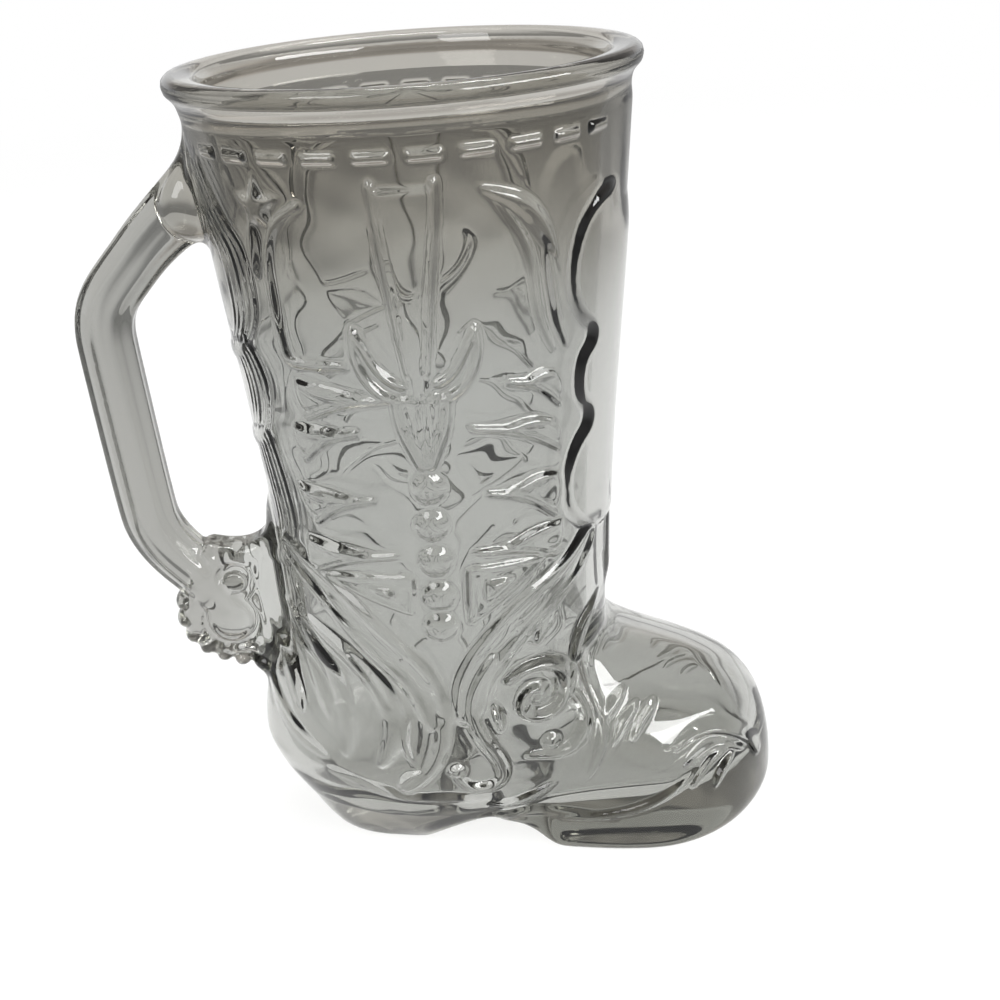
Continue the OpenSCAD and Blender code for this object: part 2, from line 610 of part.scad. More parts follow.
// Raised line on the side of the foot, along a path of [place along, height]
function foot_places(shares, reach) = [for (p = shares) [p[0] * reach, p[1] * ankle_z]];
module ridge(side, path, w, h) {
    n = len(path) - 1;
    rows = [for (i = [0:n]) let (half = across(path, i) * w / 2 * swell(i / n, 0.2))
        [path[i] + half, path[i], path[i] - half]];
    points = [for (i = [0:n], j = [0:2]) let (p = rows[i][j])
        [p[0], side * (half_w(p[0], p[1]) + (j == 1 ? h : 0)), p[1]]];
    faces = concat([[0, 1, 2], [3 * n + 2, 3 * n + 1, 3 * n]],
        [for (i = [0:n - 1], j = [0:2], half = [0, 1])
            let (k = (j + 1) % 3, a = 3 * i, b = a + 3)
            half == 0 ? [a + j, b + j, b + k] : [a + j, b + k, a + k]]);
    polyhedron(points, side < 0 ? faces : [for (f = faces) [f[0], f[2], f[1]]]);
}
function smooth_path(p, steps) = let (n = len(p) - 1)
    concat([p[0]], [for (i = [1:n - 1], k = [0:steps - 1])
        let (a = i == 1 ? p[0] : (p[i - 1] + p[i]) / 2, c = i == n - 1 ? p[n] : (p[i] + p[i + 1]) / 2,
            t = (k + 1) / steps) (1 - t) ^ 2 * a + 2 * t * (1 - t) * p[i] + t ^ 2 * c]);
piping_shares = [
    [[-0.142, 0.985], [-0.02, 0.87], [-0.01, 0.72], [-0.061, 0.55], [-0.203, 0.44], [-0.325, 0.375]],
    [[0.102, 0.985], [0.03, 0.87], [0.041, 0.74], [0.163, 0.62], [0.264, 0.5], [0.244, 0.4],
        [0.122, 0.37], [0.02, 0.43], [0.02, 0.5]]];
module piping(side) {
    color(bright_glass) for (p = piping_shares)
        ridge(side, smooth_path(foot_places(p, ankle_r), 2), 1.4 * piping_w, relief_h);
}
scroll_place_share = [0.51, 0.8];
scroll_x = scroll_place_share[0] * ankle_r;
scroll_z = scroll_place_share[1] * ankle_z;
scroll_turns = 1.7;
scroll_steps = 22;
module spiral(side) {
    path = [for (i = [0:scroll_steps]) let (t = i / scroll_steps, a = 200 - 360 * scroll_turns * t,
        r = scroll_r * (1 - 0.78 * t)) [scroll_x + r * cos(a), scroll_z + r * sin(a)]];
    color(bright_glass) ridge(side, path, piping_w, relief_h);
}
heel_scroll_shares = [
    [[-0.569, 0.97], [-0.407, 0.93], [-0.346, 0.8], [-0.386, 0.68]],
    [[-0.244, 0.97], [-0.183, 0.87], [-0.305, 0.72], [-0.285, 0.6], [-0.203, 0.54]],
    [[-0.335, 0.42], [-0.305, 0.49], [-0.224, 0.52]]];
module heel_scroll(side) {
    color(bright_glass) for (p = heel_scroll_shares)
        ridge(side, smooth_path(foot_places(p, ankle_r), 2), 1.3 * piping_w, relief_h);
}
welt_shares = [[-0.773, 0.44], [-0.529, 0.4], [-0.325, 0.35], [0, 0.35], [0.325, 0.345], [0.59, 0.36]];
module welt(side) {
    color(glass) ridge(side, smooth_path(foot_places(welt_shares, ankle_r), 2), piping_w,
        0.7 * relief_h);
}
vamp_shares = [
    [[0.47, 0.55], [0.53, 0.66], [0.61, 0.62]], [[0.48, 0.62], [0.53, 0.7], [0.6, 0.68]],
    [[0.45, 0.24], [0.62, 0.27], [0.72, 0.4], [0.83, 0.44]],
    [[0.68, 0.27], [0.75, 0.38], [0.86, 0.36]]];
module vamp_leaves(side) {
    color(bright_glass) for (p = vamp_shares)
        ridge(side, smooth_path(foot_places(p, toe_reach), 3), 1.2 * piping_w, 0.8 * relief_h);
}

module right_pull_strap() { pull_strap(right); }
module left_pull_strap() { pull_strap(left); }
module right_steer_head() { steer_head(right); }
module left_steer_head() { steer_head(left); }
module right_studs() { studs(right); }
module left_studs() { studs(left); }
module right_front_flames() { flames(right, front_flame_shares); }
module left_front_flames() { flames(left, front_flame_shares); }
module right_back_flames() { flames(right, back_flame_shares); }
module left_back_flames() { flames(left, back_flame_shares); }
module right_triangles() { triangles(right); }
module left_triangles() { triangles(left); }
module right_yoke() { yoke(right); }
module left_yoke() { yoke(left); }
module right_star() { star(right); }
module left_star() { star(left); }
module right_swag() { swag(right); }
module left_swag() { swag(left); }
module right_panel_edge() { panel_edge(right); }
module left_panel_edge() { panel_edge(left); }
module right_piping() { piping(right); }
module left_piping() { piping(left); }
module right_spiral() { spiral(right); }
module left_spiral() { spiral(left); }
module right_heel_scroll() { heel_scroll(right); }
module left_heel_scroll() { heel_scroll(left); }
module right_welt() { welt(right); }
module left_welt() { welt(left); }
module right_vamp_leaves() { vamp_leaves(right); }
module left_vamp_leaves() { vamp_leaves(left); }

rim_lip();
shaft_wall();
toe_box();
heel_counter();
heel_base();
arch_shank();
outsole();
upper_arm();
upper_elbow();
grip();
lower_elbow();
lower_arm();
handle_lug();
spur_shank();
spur_rowel();
rowel_teeth();
right_rowel_lens();
left_rowel_lens();
stitch_row();
front_strip();
back_border();
right_pull_strap();
left_pull_strap();
right_steer_head();
left_steer_head();
right_studs();
left_studs();
right_front_flames();
left_front_flames();
right_back_flames();
left_back_flames();
right_triangles();
left_triangles();
right_yoke();
left_yoke();
right_star();
left_star();
right_swag();
left_swag();
right_panel_edge();
left_panel_edge();
right_piping();
left_piping();
right_spiral();
left_spiral();
right_heel_scroll();
left_heel_scroll();
right_welt();
left_welt();
right_vamp_leaves();
left_vamp_leaves();
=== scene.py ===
"""Beer mug in the shape of a western boot, pressed from clear glass.

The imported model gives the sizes. The glass is one seamless skin, shaped as a distance
field in millimetres: body, handle and spur flow together, the ornament is raised on the
outside, the cavity is taken out, and the zero level becomes the mesh.
"""
import math

import bpy
import numpy as np
import openvdb
from mathutils import Matrix, Vector


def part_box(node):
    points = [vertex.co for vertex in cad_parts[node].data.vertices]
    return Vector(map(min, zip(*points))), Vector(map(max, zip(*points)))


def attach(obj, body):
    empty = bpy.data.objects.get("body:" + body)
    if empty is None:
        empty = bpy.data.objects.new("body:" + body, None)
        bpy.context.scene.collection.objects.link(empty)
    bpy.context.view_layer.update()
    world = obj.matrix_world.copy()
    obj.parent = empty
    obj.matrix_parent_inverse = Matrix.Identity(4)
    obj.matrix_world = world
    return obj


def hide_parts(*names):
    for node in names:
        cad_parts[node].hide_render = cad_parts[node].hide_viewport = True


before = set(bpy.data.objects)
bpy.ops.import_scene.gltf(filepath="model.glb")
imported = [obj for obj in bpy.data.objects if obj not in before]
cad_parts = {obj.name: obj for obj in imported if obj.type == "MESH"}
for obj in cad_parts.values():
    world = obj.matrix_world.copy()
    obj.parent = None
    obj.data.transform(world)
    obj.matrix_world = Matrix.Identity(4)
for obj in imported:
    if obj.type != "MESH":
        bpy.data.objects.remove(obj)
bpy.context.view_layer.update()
MM = 0.001


def span(node):
    """Lowest and highest corner of a CAD node, in millimetres."""
    low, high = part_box(node)
    return [c / MM for c in low], [c / MM for c in high]


# Camera, fitted to the photograph
FOCAL_PX = 1594.2
FRAME_PX = 1000.0
SENSOR_W = 36.0
CAMERA_PLACE = (12.213, -305.501, 195.355)
CAMERA_PITCH, CAMERA_YAW, CAMERA_ROLL = (math.radians(a) for a in (22.436, 0.024, -4.006))
NEAR_CLIP = 0.01


def make_camera():
    """The photograph's view: a little above the mug, with the toe to the right."""
    cp, sp = math.cos(CAMERA_PITCH), math.sin(CAMERA_PITCH)
    cy, sy = math.cos(CAMERA_YAW), math.sin(CAMERA_YAW)
    cr, sr = math.cos(CAMERA_ROLL), math.sin(CAMERA_ROLL)
    ahead = np.array([sy * cp, cy * cp, -sp])
    side = np.array([cy, -sy, 0.0])
    up = np.cross(side, ahead)
    right, top = side * cr + up * sr, -side * sr + up * cr
    data = bpy.data.cameras.new("camera")
    data.sensor_width = SENSOR_W
    data.lens = SENSOR_W * FOCAL_PX / FRAME_PX
    data.clip_start = NEAR_CLIP
    camera = bpy.data.objects.new("camera", data)
    turn = Matrix([[right[i], top[i], -ahead[i]] for i in range(3)]).to_4x4()
    camera.matrix_world = Matrix.Translation([c * MM for c in CAMERA_PLACE]) @ turn
    bpy.context.scene.collection.objects.link(camera)
    bpy.context.scene.camera = camera


# Driving sizes, in millimetres; the two shares are of the shaft's height
TOP_Z = span("rim_lip")[1][2]
NECK_Z = span("rim_lip")[0][2]
ANKLE_Z = span("shaft_wall")[0][2]
MOUTH_R = span("shaft_wall")[1][0]
LIP_OUT_R = span("rim_lip")[1][0] + 0.2
TOE_REACH = span("outsole")[1][0]
HEEL_REACH = -span("heel_counter")[0][0]
FLOOR_Z = span("toe_box")[0][2]
CALF_R, SHIN_R, ANKLE_R = 39.5, 34.2, 33.3
CALF_SHARE, SHIN_SHARE = 0.748, 0.214
WALL, FOOT_WALL = 4.0, 4.6
BALL_W, HEEL_W = 58.0, 55.0
INSTEP_Z = 46.0
SOLE_ROUND, TOE_ROUND = 2.0, 6.5
ARCH_H, ARCH_X, ARCH_HALF = 6.1, 6.0, 12.0
LIP_ROLL_R = 2.15
BAR_R = 5.6
RELIEF_H = 1.2
STRIP_H, FRONT_EDGE_H = 1.25, 0.55

# Foot profiles: share of the ankle's height, then share of the radius, reach or half width
CORE_SHARES = [(0, 0.54), (0.083, 0.645), (0.167, 0.72), (0.3125, 0.826), (0.52, 0.9),
               (0.75, 0.961), (1, 1)]
HEEL_BACK_SHARES = [(0, 0.713), (0.0625, 0.761), (0.167, 0.829), (0.25, 0.889),
                    (0.354, 0.957), (0.479, 1), (0.625, 0.981), (0.79, 0.923), (1, 0.804)]
HEEL_SIDE_SHARES = [(0, 0.6), (0.0625, 0.676), (0.167, 0.775), (0.292, 0.88),
                    (0.479, 0.98), (0.708, 1), (0.86, 0.85), (1, 0)]

# Ridge over the foot: share of the toe's reach, then share of the instep's height
RIDGE_SHARES = [(0.295, 1.13), (0.443, 0.985), (0.532, 0.853), (0.62, 0.783),
                (0.739, 0.711), (0.827, 0.659), (0.886, 0.613), (0.93, 0.552),
                (0.9675, 0.465), (0.99, 0.335), (1, 0.174)]

# Places and bends of the foot's outline
WIDEST_Z = 0.167 * ANKLE_Z
BALL_X = 0.583 * TOE_REACH
WAIST_HALF = 0.767 * BALL_W / 2
HEEL_LOBE_X = 0.29 * HEEL_REACH
TOE_START = 9.0
BLEND_POWER = 8
DOME_POWER = 2.4
CROWN_DROP = 1.15

# The field's grid
VOXEL = 0.5
BAND_MM = 4.5
LOW_CORNER = (-71.0, -47.5, -3.0)
HIGH_CORNER = (71.0, 47.5, 163.0)
START = [int(math.floor(c / VOXEL)) for c in LOW_CORNER]
COUNT = [int(math.ceil(h / VOXEL)) - s + 1 for h, s in zip(HIGH_CORNER, START)]
AXES = [((s + np.arange(n)) * VOXEL).astype(np.float32) for s, n in zip(START, COUNT)]
X = AXES[0][:, None, None]
Y = AXES[1][None, :, None]
Z = AXES[2][None, None, :]


def smooth_curve(keys, place):
    """Smooth curve through keys of (place, value), without overshoot."""
    at, value = np.array(keys, float).T
    place = np.clip(place, at[0], at[-1])
    slopes = np.diff(value) / np.diff(at)
    product = slopes[:-1] * slopes[1:]
    total = slopes[:-1] + slopes[1:]
    inner = np.where(product > 0, 2 * product / np.where(total == 0, 1, total), 0)
    tangents = np.concatenate([slopes[:1], inner, slopes[-1:]])
    i = np.clip(np.searchsorted(at, place, side="right") - 1, 0, len(at) - 2)
    d = at[i + 1] - at[i]
    s = (place - at[i]) / d
    return ((2 * s ** 3 - 3 * s ** 2 + 1) * value[i] + (s ** 3 - 2 * s ** 2 + s) * d * tangents[i]
            + (3 * s ** 2 - 2 * s ** 3) * value[i + 1] + (s ** 3 - s ** 2) * d * tangents[i + 1])


def ease(t):
    s = np.clip(t, 0, 1)
    return s * s * (3 - 2 * s)


def rise(value, start, length):
    """Smooth passage from 0 to 1 that begins at a value and takes this length."""
    return ease((value - start) / length)


SHAFT_H = NECK_Z - ANKLE_Z
WALL_KEYS = [(ANKLE_Z, ANKLE_R), (ANKLE_Z + SHIN_SHARE * SHAFT_H, SHIN_R),
             (ANKLE_Z + CALF_SHARE * SHAFT_H, CALF_R), (NECK_Z, MOUTH_R)]


def wall_r(z):
    return smooth_curve(WALL_KEYS, z)


def core_r(z, t):
    return ANKLE_R * smooth_curve(CORE_SHARES, z / ANKLE_Z) - t


def back_reach(z, t):
    heel = HEEL_REACH * smooth_curve(HEEL_BACK_SHARES, z / ANKLE_Z)
    return np.maximum(heel, core_r(z, 0)) - t


def edge_inset(z, r):
    """How far a lower edge rounded to radius r draws in at a height."""
    below = np.clip(r - z, 0, r)
    return r - np.sqrt(r ** 2 - below ** 2)


def ridge_z(x, t):
    top = INSTEP_Z * smooth_curve(RIDGE_SHARES, x / (TOE_REACH - t))
    return WIDEST_Z + (top - WIDEST_Z) * (1 - CROWN_DROP * t / (INSTEP_Z - WIDEST_Z))


def ellipse(share):
    return np.sqrt(np.clip(1 - share ** 2, 0, 1))


def heel_half(x, z, t):
    half = max(0.0, HEEL_W / 2 * float(smooth_curve(HEEL_SIDE_SHARES, z / ANKLE_Z)) - t)
    behind = ellipse((x + HEEL_LOBE_X) / (back_reach(z, t) - HEEL_LOBE_X))
    before = np.clip(1 - ((x + HEEL_LOBE_X) / ANKLE_R) ** 2, 0, 1)
    return half * np.where(x < -HEEL_LOBE_X, behind, before)


def toe_half(x, z, t):
    half = BALL_W / 2 - t - float(edge_inset(z, SOLE_ROUND))
    reach = TOE_REACH - t - float(edge_inset(z, TOE_ROUND))
    plan = np.where(x > BALL_X, half * ellipse((x - BALL_X) / (reach - BALL_X)),
                    WAIST_HALF + (half - WAIST_HALF) * ease(x / BALL_X))
    climb = np.clip((z - WIDEST_Z) / (ridge_z(x, t) - WIDEST_Z), 0, 1)
    dome = (1 - climb ** DOME_POWER) ** (1 / DOME_POWER)
    return np.where(x < reach, plan * ease(x / TOE_START) * dome, 0)


def half_width(x, z, t):
    """Half width of the foot at places along it and one height, inset by a wall."""
    core = np.sqrt(np.clip(core_r(z, t) ** 2 - x ** 2, 0, None))
    parts = (core, heel_half(x, z, t), toe_half(x, z, t))
    return sum(p ** BLEND_POWER for p in parts) ** (1 / BLEND_POWER)


HALVINGS = 24


def front_reach(z, t):
    """How far the foot reaches forward at a height, found on the ridge by halving."""
    if z <= WIDEST_Z:
        return TOE_REACH - t - float(edge_inset(z, TOE_ROUND))
    near, far = ANKLE_R / 2, TOE_REACH - t
    for _ in range(HALVINGS):
        mid = (near + far) / 2
        near, far = (mid, far) if ridge_z(mid, t) > z else (near, mid)
    return max(float(core_r(z, t)), near)


HALF_RING = 110


def half_ring(z, t):
    """Places from the front round the right side to the back, at one height."""
    turn = np.cos(np.linspace(0, math.pi, HALF_RING))
    if z >= ANKLE_Z:
        r = float(wall_r(z)) - t
        return r * turn, r * ellipse(turn)
    front, back = front_reach(z, t), -float(back_reach(z, t))
    x = (front + back) / 2 + (front - back) / 2 * turn
    y = half_width(x, z, t)
    y[[0, -1]] = 0
    return x, y


def loft(levels, walls):
    """Closed mesh through the boot's level outlines: points and triangles."""
    rings = []
    for z, t in zip(levels, walls):
        x, y = half_ring(z, t)
        ring = np.stack([x, -y, np.full(len(x), z)], 1)
        mirrored = ring[-2:0:-1] * (1, -1, 1)
        rings.append(np.concatenate([ring, mirrored]))
    size = len(rings[0])
    i = np.arange(size)
    j = (i + 1) % size
    sides = []
    for k in range(len(rings) - 1):
        a, b = k * size, (k + 1) * size
        sides.append(np.stack([a + i, b + i, a + j], 1))
        sides.append(np.stack([a + j, b + i, b + j], 1))
    left = (size - i) % size
    near, far = i[:HALF_RING - 1], i[1:HALF_RING]
    cap = np.concatenate([np.stack([near, far, left[far]], 1),
                          np.stack([near, left[far], left[near]], 1)])
    top = cap[:, ::-1] + (len(rings) - 1) * size
    return np.concatenate(rings), np.concatenate(sides + [cap, top])


def field_of(points, triangles):
    """Signed distance to a closed mesh, kept within BAND_MM of it."""
    grid = openvdb.FloatGrid.createLevelSetFromPolygons(
        points.astype(np.float32), triangles=triangles.astype(np.uint32),
        transform=openvdb.createLinearTransform(VOXEL), halfWidth=BAND_MM / VOXEL)
    field = np.empty(COUNT, np.float32)
    grid.copyToArray(field, ijk=tuple(START))
    return field


def blur(field, steps):
    """Box blur along each axis, this many cells to both sides, edge values carried on."""
    width = 2 * steps + 1
    for axis in range(field.ndim):
        pad = [(0, 0)] * field.ndim
        pad[axis] = (steps + 1, steps)
        total = np.cumsum(np.pad(field, pad, mode="edge"), axis=axis, dtype=np.float64)
        high = np.take(total, range(width, total.shape[axis]), axis=axis)
        low = np.take(total, range(0, total.shape[axis] - width), axis=axis)
        field = ((high - low) / width).astype(np.float32)
    return field


def join(a, b, k):
    """Smooth union of two distance fields."""
    h = np.clip(k - np.abs(a - b), 0, None) / k
    return np.minimum(a, b) - h * h * k * 0.25


def cut(a, b, k):
    """Field a with b taken away, its new edges rounded."""
    return -join(-a, b, k)


# Body and cavity: steps between the level outlines, room left between the last two of the
# body, how far the cavity goes on above the mouth, and roundings
FOOT_STEP, SHAFT_STEP = 0.5, 2
TOP_GAP, MOUTH_RISE = 1, 4
ARCH_BLEND = 3.0
BODY_SOFTNESS = 0.9
CAVITY_SOFTNESS, CAVITY_ROUND = 1.6, 9.0

# Passage from the foot's wall to the shaft's thinner one, as (start, length) of height
THINNING = (0.75 * ANKLE_Z, 0.3 * ANKLE_Z)

# Waves of the cavity's wall: heights, and (crests round the shaft, radians per mm upwards);
# they calm towards the toe and the mouth, as (start, length)
CROSSED_WAVE_H, FINE_WAVE_H, BROAD_WAVE_H = 0.12, 0.04, 0.1
CROSSED_WAVES = (9, 0.16), (3, 0.4)
FINE_WAVE, BROAD_WAVE = (17, -0.3), (-5, 0.23)
CALM_X, CALM_Z = (18, 8), (132, 10)

# Lip's section: how far in and down its inner side lies, its cone as distances out from the
# mouth's radius and its roll as distances in from the widest, each with a depth below the top
LIP_REACH = 13.0
LIP_DEPTH, LIP_INNER_LOW, LIP_INNER_TOP = 6, 7.5, 0.8
LIP_CONE = [(-0.4, 6.6), (0.7, 4.9)]
LIP_ROLL = [(0.3, 3.2), (0, 2.0), (0.2, 0.9), (1.1, 0.1), (2.3, 0)]


def body_field():
    """Plain outside of shaft and foot, with the arch cut under the waist."""
    levels = np.concatenate([np.arange(0, ANKLE_Z, FOOT_STEP),
                             np.arange(ANKLE_Z, TOP_Z - TOP_GAP, SHAFT_STEP),
                             [TOP_Z - LIP_ROLL_R / 2]])
    body = field_of(*loft(levels, np.zeros(len(levels))))
    arch_r = (ARCH_HALF ** 2 + ARCH_H ** 2) / (2 * ARCH_H)
    arch = np.hypot(X - ARCH_X, Z - ARCH_H + arch_r) - arch_r
    body = cut(body, arch, ARCH_BLEND)
    return blur(body, int(round(BODY_SOFTNESS / VOXEL)))


def lip_field():
    """Thin rolled lip on a short cone that leads down to the wall."""
    r = np.hypot(X, Y)
    top = int(np.searchsorted(AXES[2], TOP_Z - LIP_REACH))
    field = np.full(COUNT, BAND_MM, np.float32)
    inner_r = LIP_OUT_R - LIP_DEPTH
    outline = [(inner_r, TOP_Z - LIP_INNER_LOW)]
    outline += [(MOUTH_R + out, TOP_Z - down) for out, down in LIP_CONE]
    outline += [(LIP_OUT_R - inset, TOP_Z - down) for inset, down in LIP_ROLL]
    outline += [(inner_r, TOP_Z - LIP_INNER_TOP)]
    field[:, :, top:] = outline_distance(r, Z[:, :, top:], outline)
    return field


def spiral_wave(around, turns, slope):
    """Wave with this many crests round the shaft, which turns as it climbs."""
    return np.sin(turns * around + slope * Z)


def cavity_field():
    """Inside of the glass, from the floor to beyond the mouth, with slightly wavy walls."""
    levels = np.concatenate([np.arange(FLOOR_Z, ANKLE_Z, FOOT_STEP),
                             np.arange(ANKLE_Z, TOP_Z + MOUTH_RISE, SHAFT_STEP)])
    walls = WALL + (FOOT_WALL - WALL) * (1 - rise(levels, *THINNING))
    walls = walls + edge_inset(levels - FLOOR_Z, CAVITY_ROUND)
    cavity = blur(field_of(*loft(levels, walls)), int(round(CAVITY_SOFTNESS / VOXEL)))
    around = np.arctan2(X, Y)
    first, second = (spiral_wave(around, *each) for each in CROSSED_WAVES)
    wave = CROSSED_WAVE_H * first * second
    wave = wave + FINE_WAVE_H * spiral_wave(around, *FINE_WAVE)
    wave = wave + BROAD_WAVE_H * spiral_wave(around, *BROAD_WAVE)
    wave = wave * (1 - rise(X, *CALM_X)) * (1 - rise(Z, *CALM_Z))
    return cavity + wave.astype(np.float32)


# Handle and spur, in the plane y = 0; a lens has its place from the rowel and its radius
ARM_PATH = [(-35.7, 141.2), (-49.6, 130.6), (-56.4, 123.4), (-61.5, 117.5), (-63.1, 112.2),
            (-62.8, 106), (-60.4, 74), (-59.5, 69), (-56.4, 63.4), (-50.3, 57), (-46.8, 51.5)]
BAR_EDGE, BAR_SCALE = 6, 0.97
FLUTES, FLUTE_SHARE = 8, 0.04
ROOT_SWELL, ROOT_SHARE, ROOT_POWER = 2.3, 0.24, 1.5
GRIP_SWELL = 0.08
LUG_PATH = [(-38.6, 147.0), (-41.9, 135.2)]
LUG_TOP_R, LUG_LOW_R, LUG_FLATNESS, LUG_EDGE = 3.4, 6.6, 0.7, 3
ROWEL = (-47.2, 47.8)
ROWEL_R, ROWEL_HALF, ROWEL_EDGE, ROWEL_BLEND = 8.2, 4.6, 2.0, 2.0
STROKES = [[(-39.5, 61), (-41, 53), (-38, 42)],
           [(-36.5, 61), (-37.6, 52), (-34.5, 41)],
           [(-49.5, 64), (-46.5, 60), (-53.5, 55)]]
STROKE_R, STROKE_BLEND = 0.8, 1.6
TOOTH_R, TOOTH_STEP, TOOTH_FLATNESS, TOOTH_BLEND = 2.0, 3.6, 0.45, 0.5
TEETH_PATH = [(-55.2, 52), (-55.6, 48.4), (-54.8, 45.2), (-52.6, 42.0), (-48.7, 39.7),
              (-44.8, 38.2), (-40.8, 37.6)]
LENSES = ((1.6, 0.0, 4.4), (3.4, 9.0, 2.3))
LENS_RISE, LENS_CURVE, LENS_BLEND = 1.4, 1.7, 0.4
GROOVE_OUT, GROOVE_LIFT, GROOVE_R, GROOVE_BLEND = 0.8, 0.3, 1.0, 1.0
WEB_HALF, WEB_EDGE = 4.6, 2.4
WEB = [(-50, 65.6), (-46, 64.4), (-42, 64.0), (-38.5, 64.9), (-35.6, 67.6), (-34.2, 74), (-30, 74),
       (-30, 35), (-37, 36.8), (-42, 39.8), (-50, 43.4), (-54, 50)]


def rounded(path, steps=6):
    """Path with its corners eased into curves."""
    path = [np.array(p, float) for p in path]
    out = [path[0]]
    for before, corner, after in zip(path, path[1:], path[2:]):
        start, end = (before + corner) / 2, (corner + after) / 2
        for t in np.linspace(0, 1, steps):
            out.append((1 - t) ** 2 * start + 2 * t * (1 - t) * corner + t * t * end)
    return np.array(out + [path[-1]])


def evenly(path, step):
    """Places along a path, as near to this far apart as fits its length."""
    lengths = np.hypot(*np.diff(path, axis=0).T)
    done = np.concatenate([[0], np.cumsum(lengths)])
    at = np.linspace(0, done[-1], int(round(done[-1] / step)) + 1)
    return np.stack([np.interp(at, done, path[:, 0]), np.interp(at, done, path[:, 1])], 1)


def path_distance(u, v, path):
    """Distance to a path, and how far along it the nearest place is, from 0 to 1."""
    best = np.full(np.broadcast(u, v).shape, 1e9, np.float32)
    along = np.zeros_like(best)
    lengths = np.hypot(*np.diff(path, axis=0).T)
    total, done = lengths.sum(), 0.0
    for a, b, length in zip(path, path[1:], lengths):
        if length == 0:
            continue
        t = np.clip(((u - a[0]) * (b[0] - a[0]) + (v - a[1]) * (b[1] - a[1])) / length ** 2, 0, 1)
        d = np.hypot(u - a[0] - t * (b[0] - a[0]), v - a[1] - t * (b[1] - a[1]))
        nearer = d < best
        best = np.where(nearer, d, best)
        along = np.where(nearer, (done + t * length) / total, along)
        done += length
    return best, along


def outline_distance(u, v, outline):
    """Signed distance to a closed outline, negative inside."""
    closed = np.array(list(outline) + [outline[0]], float)
    distance, _ = path_distance(u, v, closed)
    inside = np.zeros(distance.shape, bool)
    for a, b in zip(closed, closed[1:]):
        if a[1] != b[1]:
            crosses = (a[1] > v) != (b[1] > v)
            inside ^= crosses & (u < a[0] + (v - a[1]) * (b[0] - a[0]) / (b[1] - a[1]))
    return np.where(inside, -distance, distance)


def slab(flat, half, edge):
    """Flat shape of the xz plane thickened to both sides, with rounded edges."""
    a, b = flat + edge, np.abs(Y) - half + edge
    return np.hypot(np.maximum(a, 0), np.maximum(b, 0)) + np.minimum(np.maximum(a, b), 0) - edge


def handle_field():
    """Round-edged bar of eight soft facets along the arm's path, thicker at its root."""
    flat, along = path_distance(X[:, :, 0:1], Z, rounded(ARM_PATH))
    side = np.abs(Y)
    slant = (flat + side) * math.sqrt(0.5)
    bar = flat ** BAR_EDGE + side ** BAR_EDGE + slant ** BAR_EDGE
    bar = bar ** (1 / BAR_EDGE) * BAR_SCALE
    bar = bar * (1 + FLUTE_SHARE * np.cos(FLUTES * np.arctan2(side, flat)))
    swell = ROOT_SWELL * np.clip(1 - along / ROOT_SHARE, 0, 1) ** ROOT_POWER
    swell = swell + GRIP_SWELL * np.sin(math.pi * along)
    return bar - BAR_R - swell


def lug_field():
    """Lobe that hangs from the shaft over the root of the upper arm."""
    flat, along = path_distance(X[:, :, 0:1], Z, np.array(LUG_PATH))
    lobe = (flat ** LUG_EDGE + np.abs(LUG_FLATNESS * Y) ** LUG_EDGE) ** (1 / LUG_EDGE)
    return lobe - (LUG_TOP_R + (LUG_LOW_R - LUG_TOP_R) * ease(along))


def spur_field():
    """Web and rowel in one plane, edged with beads, with strokes and lenses on both faces."""
    u, v = X[:, :, 0:1], Z
    web = slab(outline_distance(u, v, rounded(WEB + WEB[:2])[1:-1]), WEB_HALF, WEB_EDGE)
    disc = slab(np.hypot(u - ROWEL[0], v - ROWEL[1]) - ROWEL_R, ROWEL_HALF, ROWEL_EDGE)
    spur = join(web, disc, ROWEL_BLEND)
    for x, z in evenly(rounded(TEETH_PATH), TOOTH_STEP):
        tooth = np.sqrt((u - x) ** 2 + (v - z) ** 2 + (TOOTH_FLATNESS * Y) ** 2) - TOOTH_R
        spur = join(spur, tooth, TOOTH_BLEND)
    for path in STROKES:
        d, along = path_distance(u, v, rounded(path))
        taper = np.sin(math.pi * along.clip(0.02, 0.98))
        stroke = np.hypot(d, np.abs(Y) - ROWEL_HALF) - STROKE_R * taper
        spur = join(spur, stroke, STROKE_BLEND)
    for du, dv, r in LENSES:
        d = np.hypot(u - ROWEL[0] - du, v - ROWEL[1] - dv)
        dome_r = LENS_CURVE * r
        dome = np.hypot(d, np.abs(Y) - ROWEL_HALF - LENS_RISE + dome_r) - dome_r
        groove = np.hypot(d - r - GROOVE_OUT, np.abs(Y) - ROWEL_HALF - GROOVE_LIFT) - GROOVE_R
        spur = join(cut(spur, groove, GROOVE_BLEND), np.maximum(dome, d - r), LENS_BLEND)
    return spur


# Relief: height maps over the side of the shaft (arc length, height) and of the foot (x, z)
CELL = 0.25
SHAFT_CORNERS = ((-70.0, 44.0), (70.0, 156.0))
FOOT_CORNERS = ((-48.0, -4.0), (72.0, 66.0))

# Sections of cords, leaves and bosses, the sunk ring round a boss, and the deepest cut
CORD_ROUND, CORD_SINKING = 0.8, 0.5
LEAF_STEPS, LEAF_TAPER, LEAF_KEEL = 14, 0.8, 1.15
LENS_ROUND = 0.7
RING_OUT, RING_HALF_W = 0.3, 0.9
DEEPEST = -1


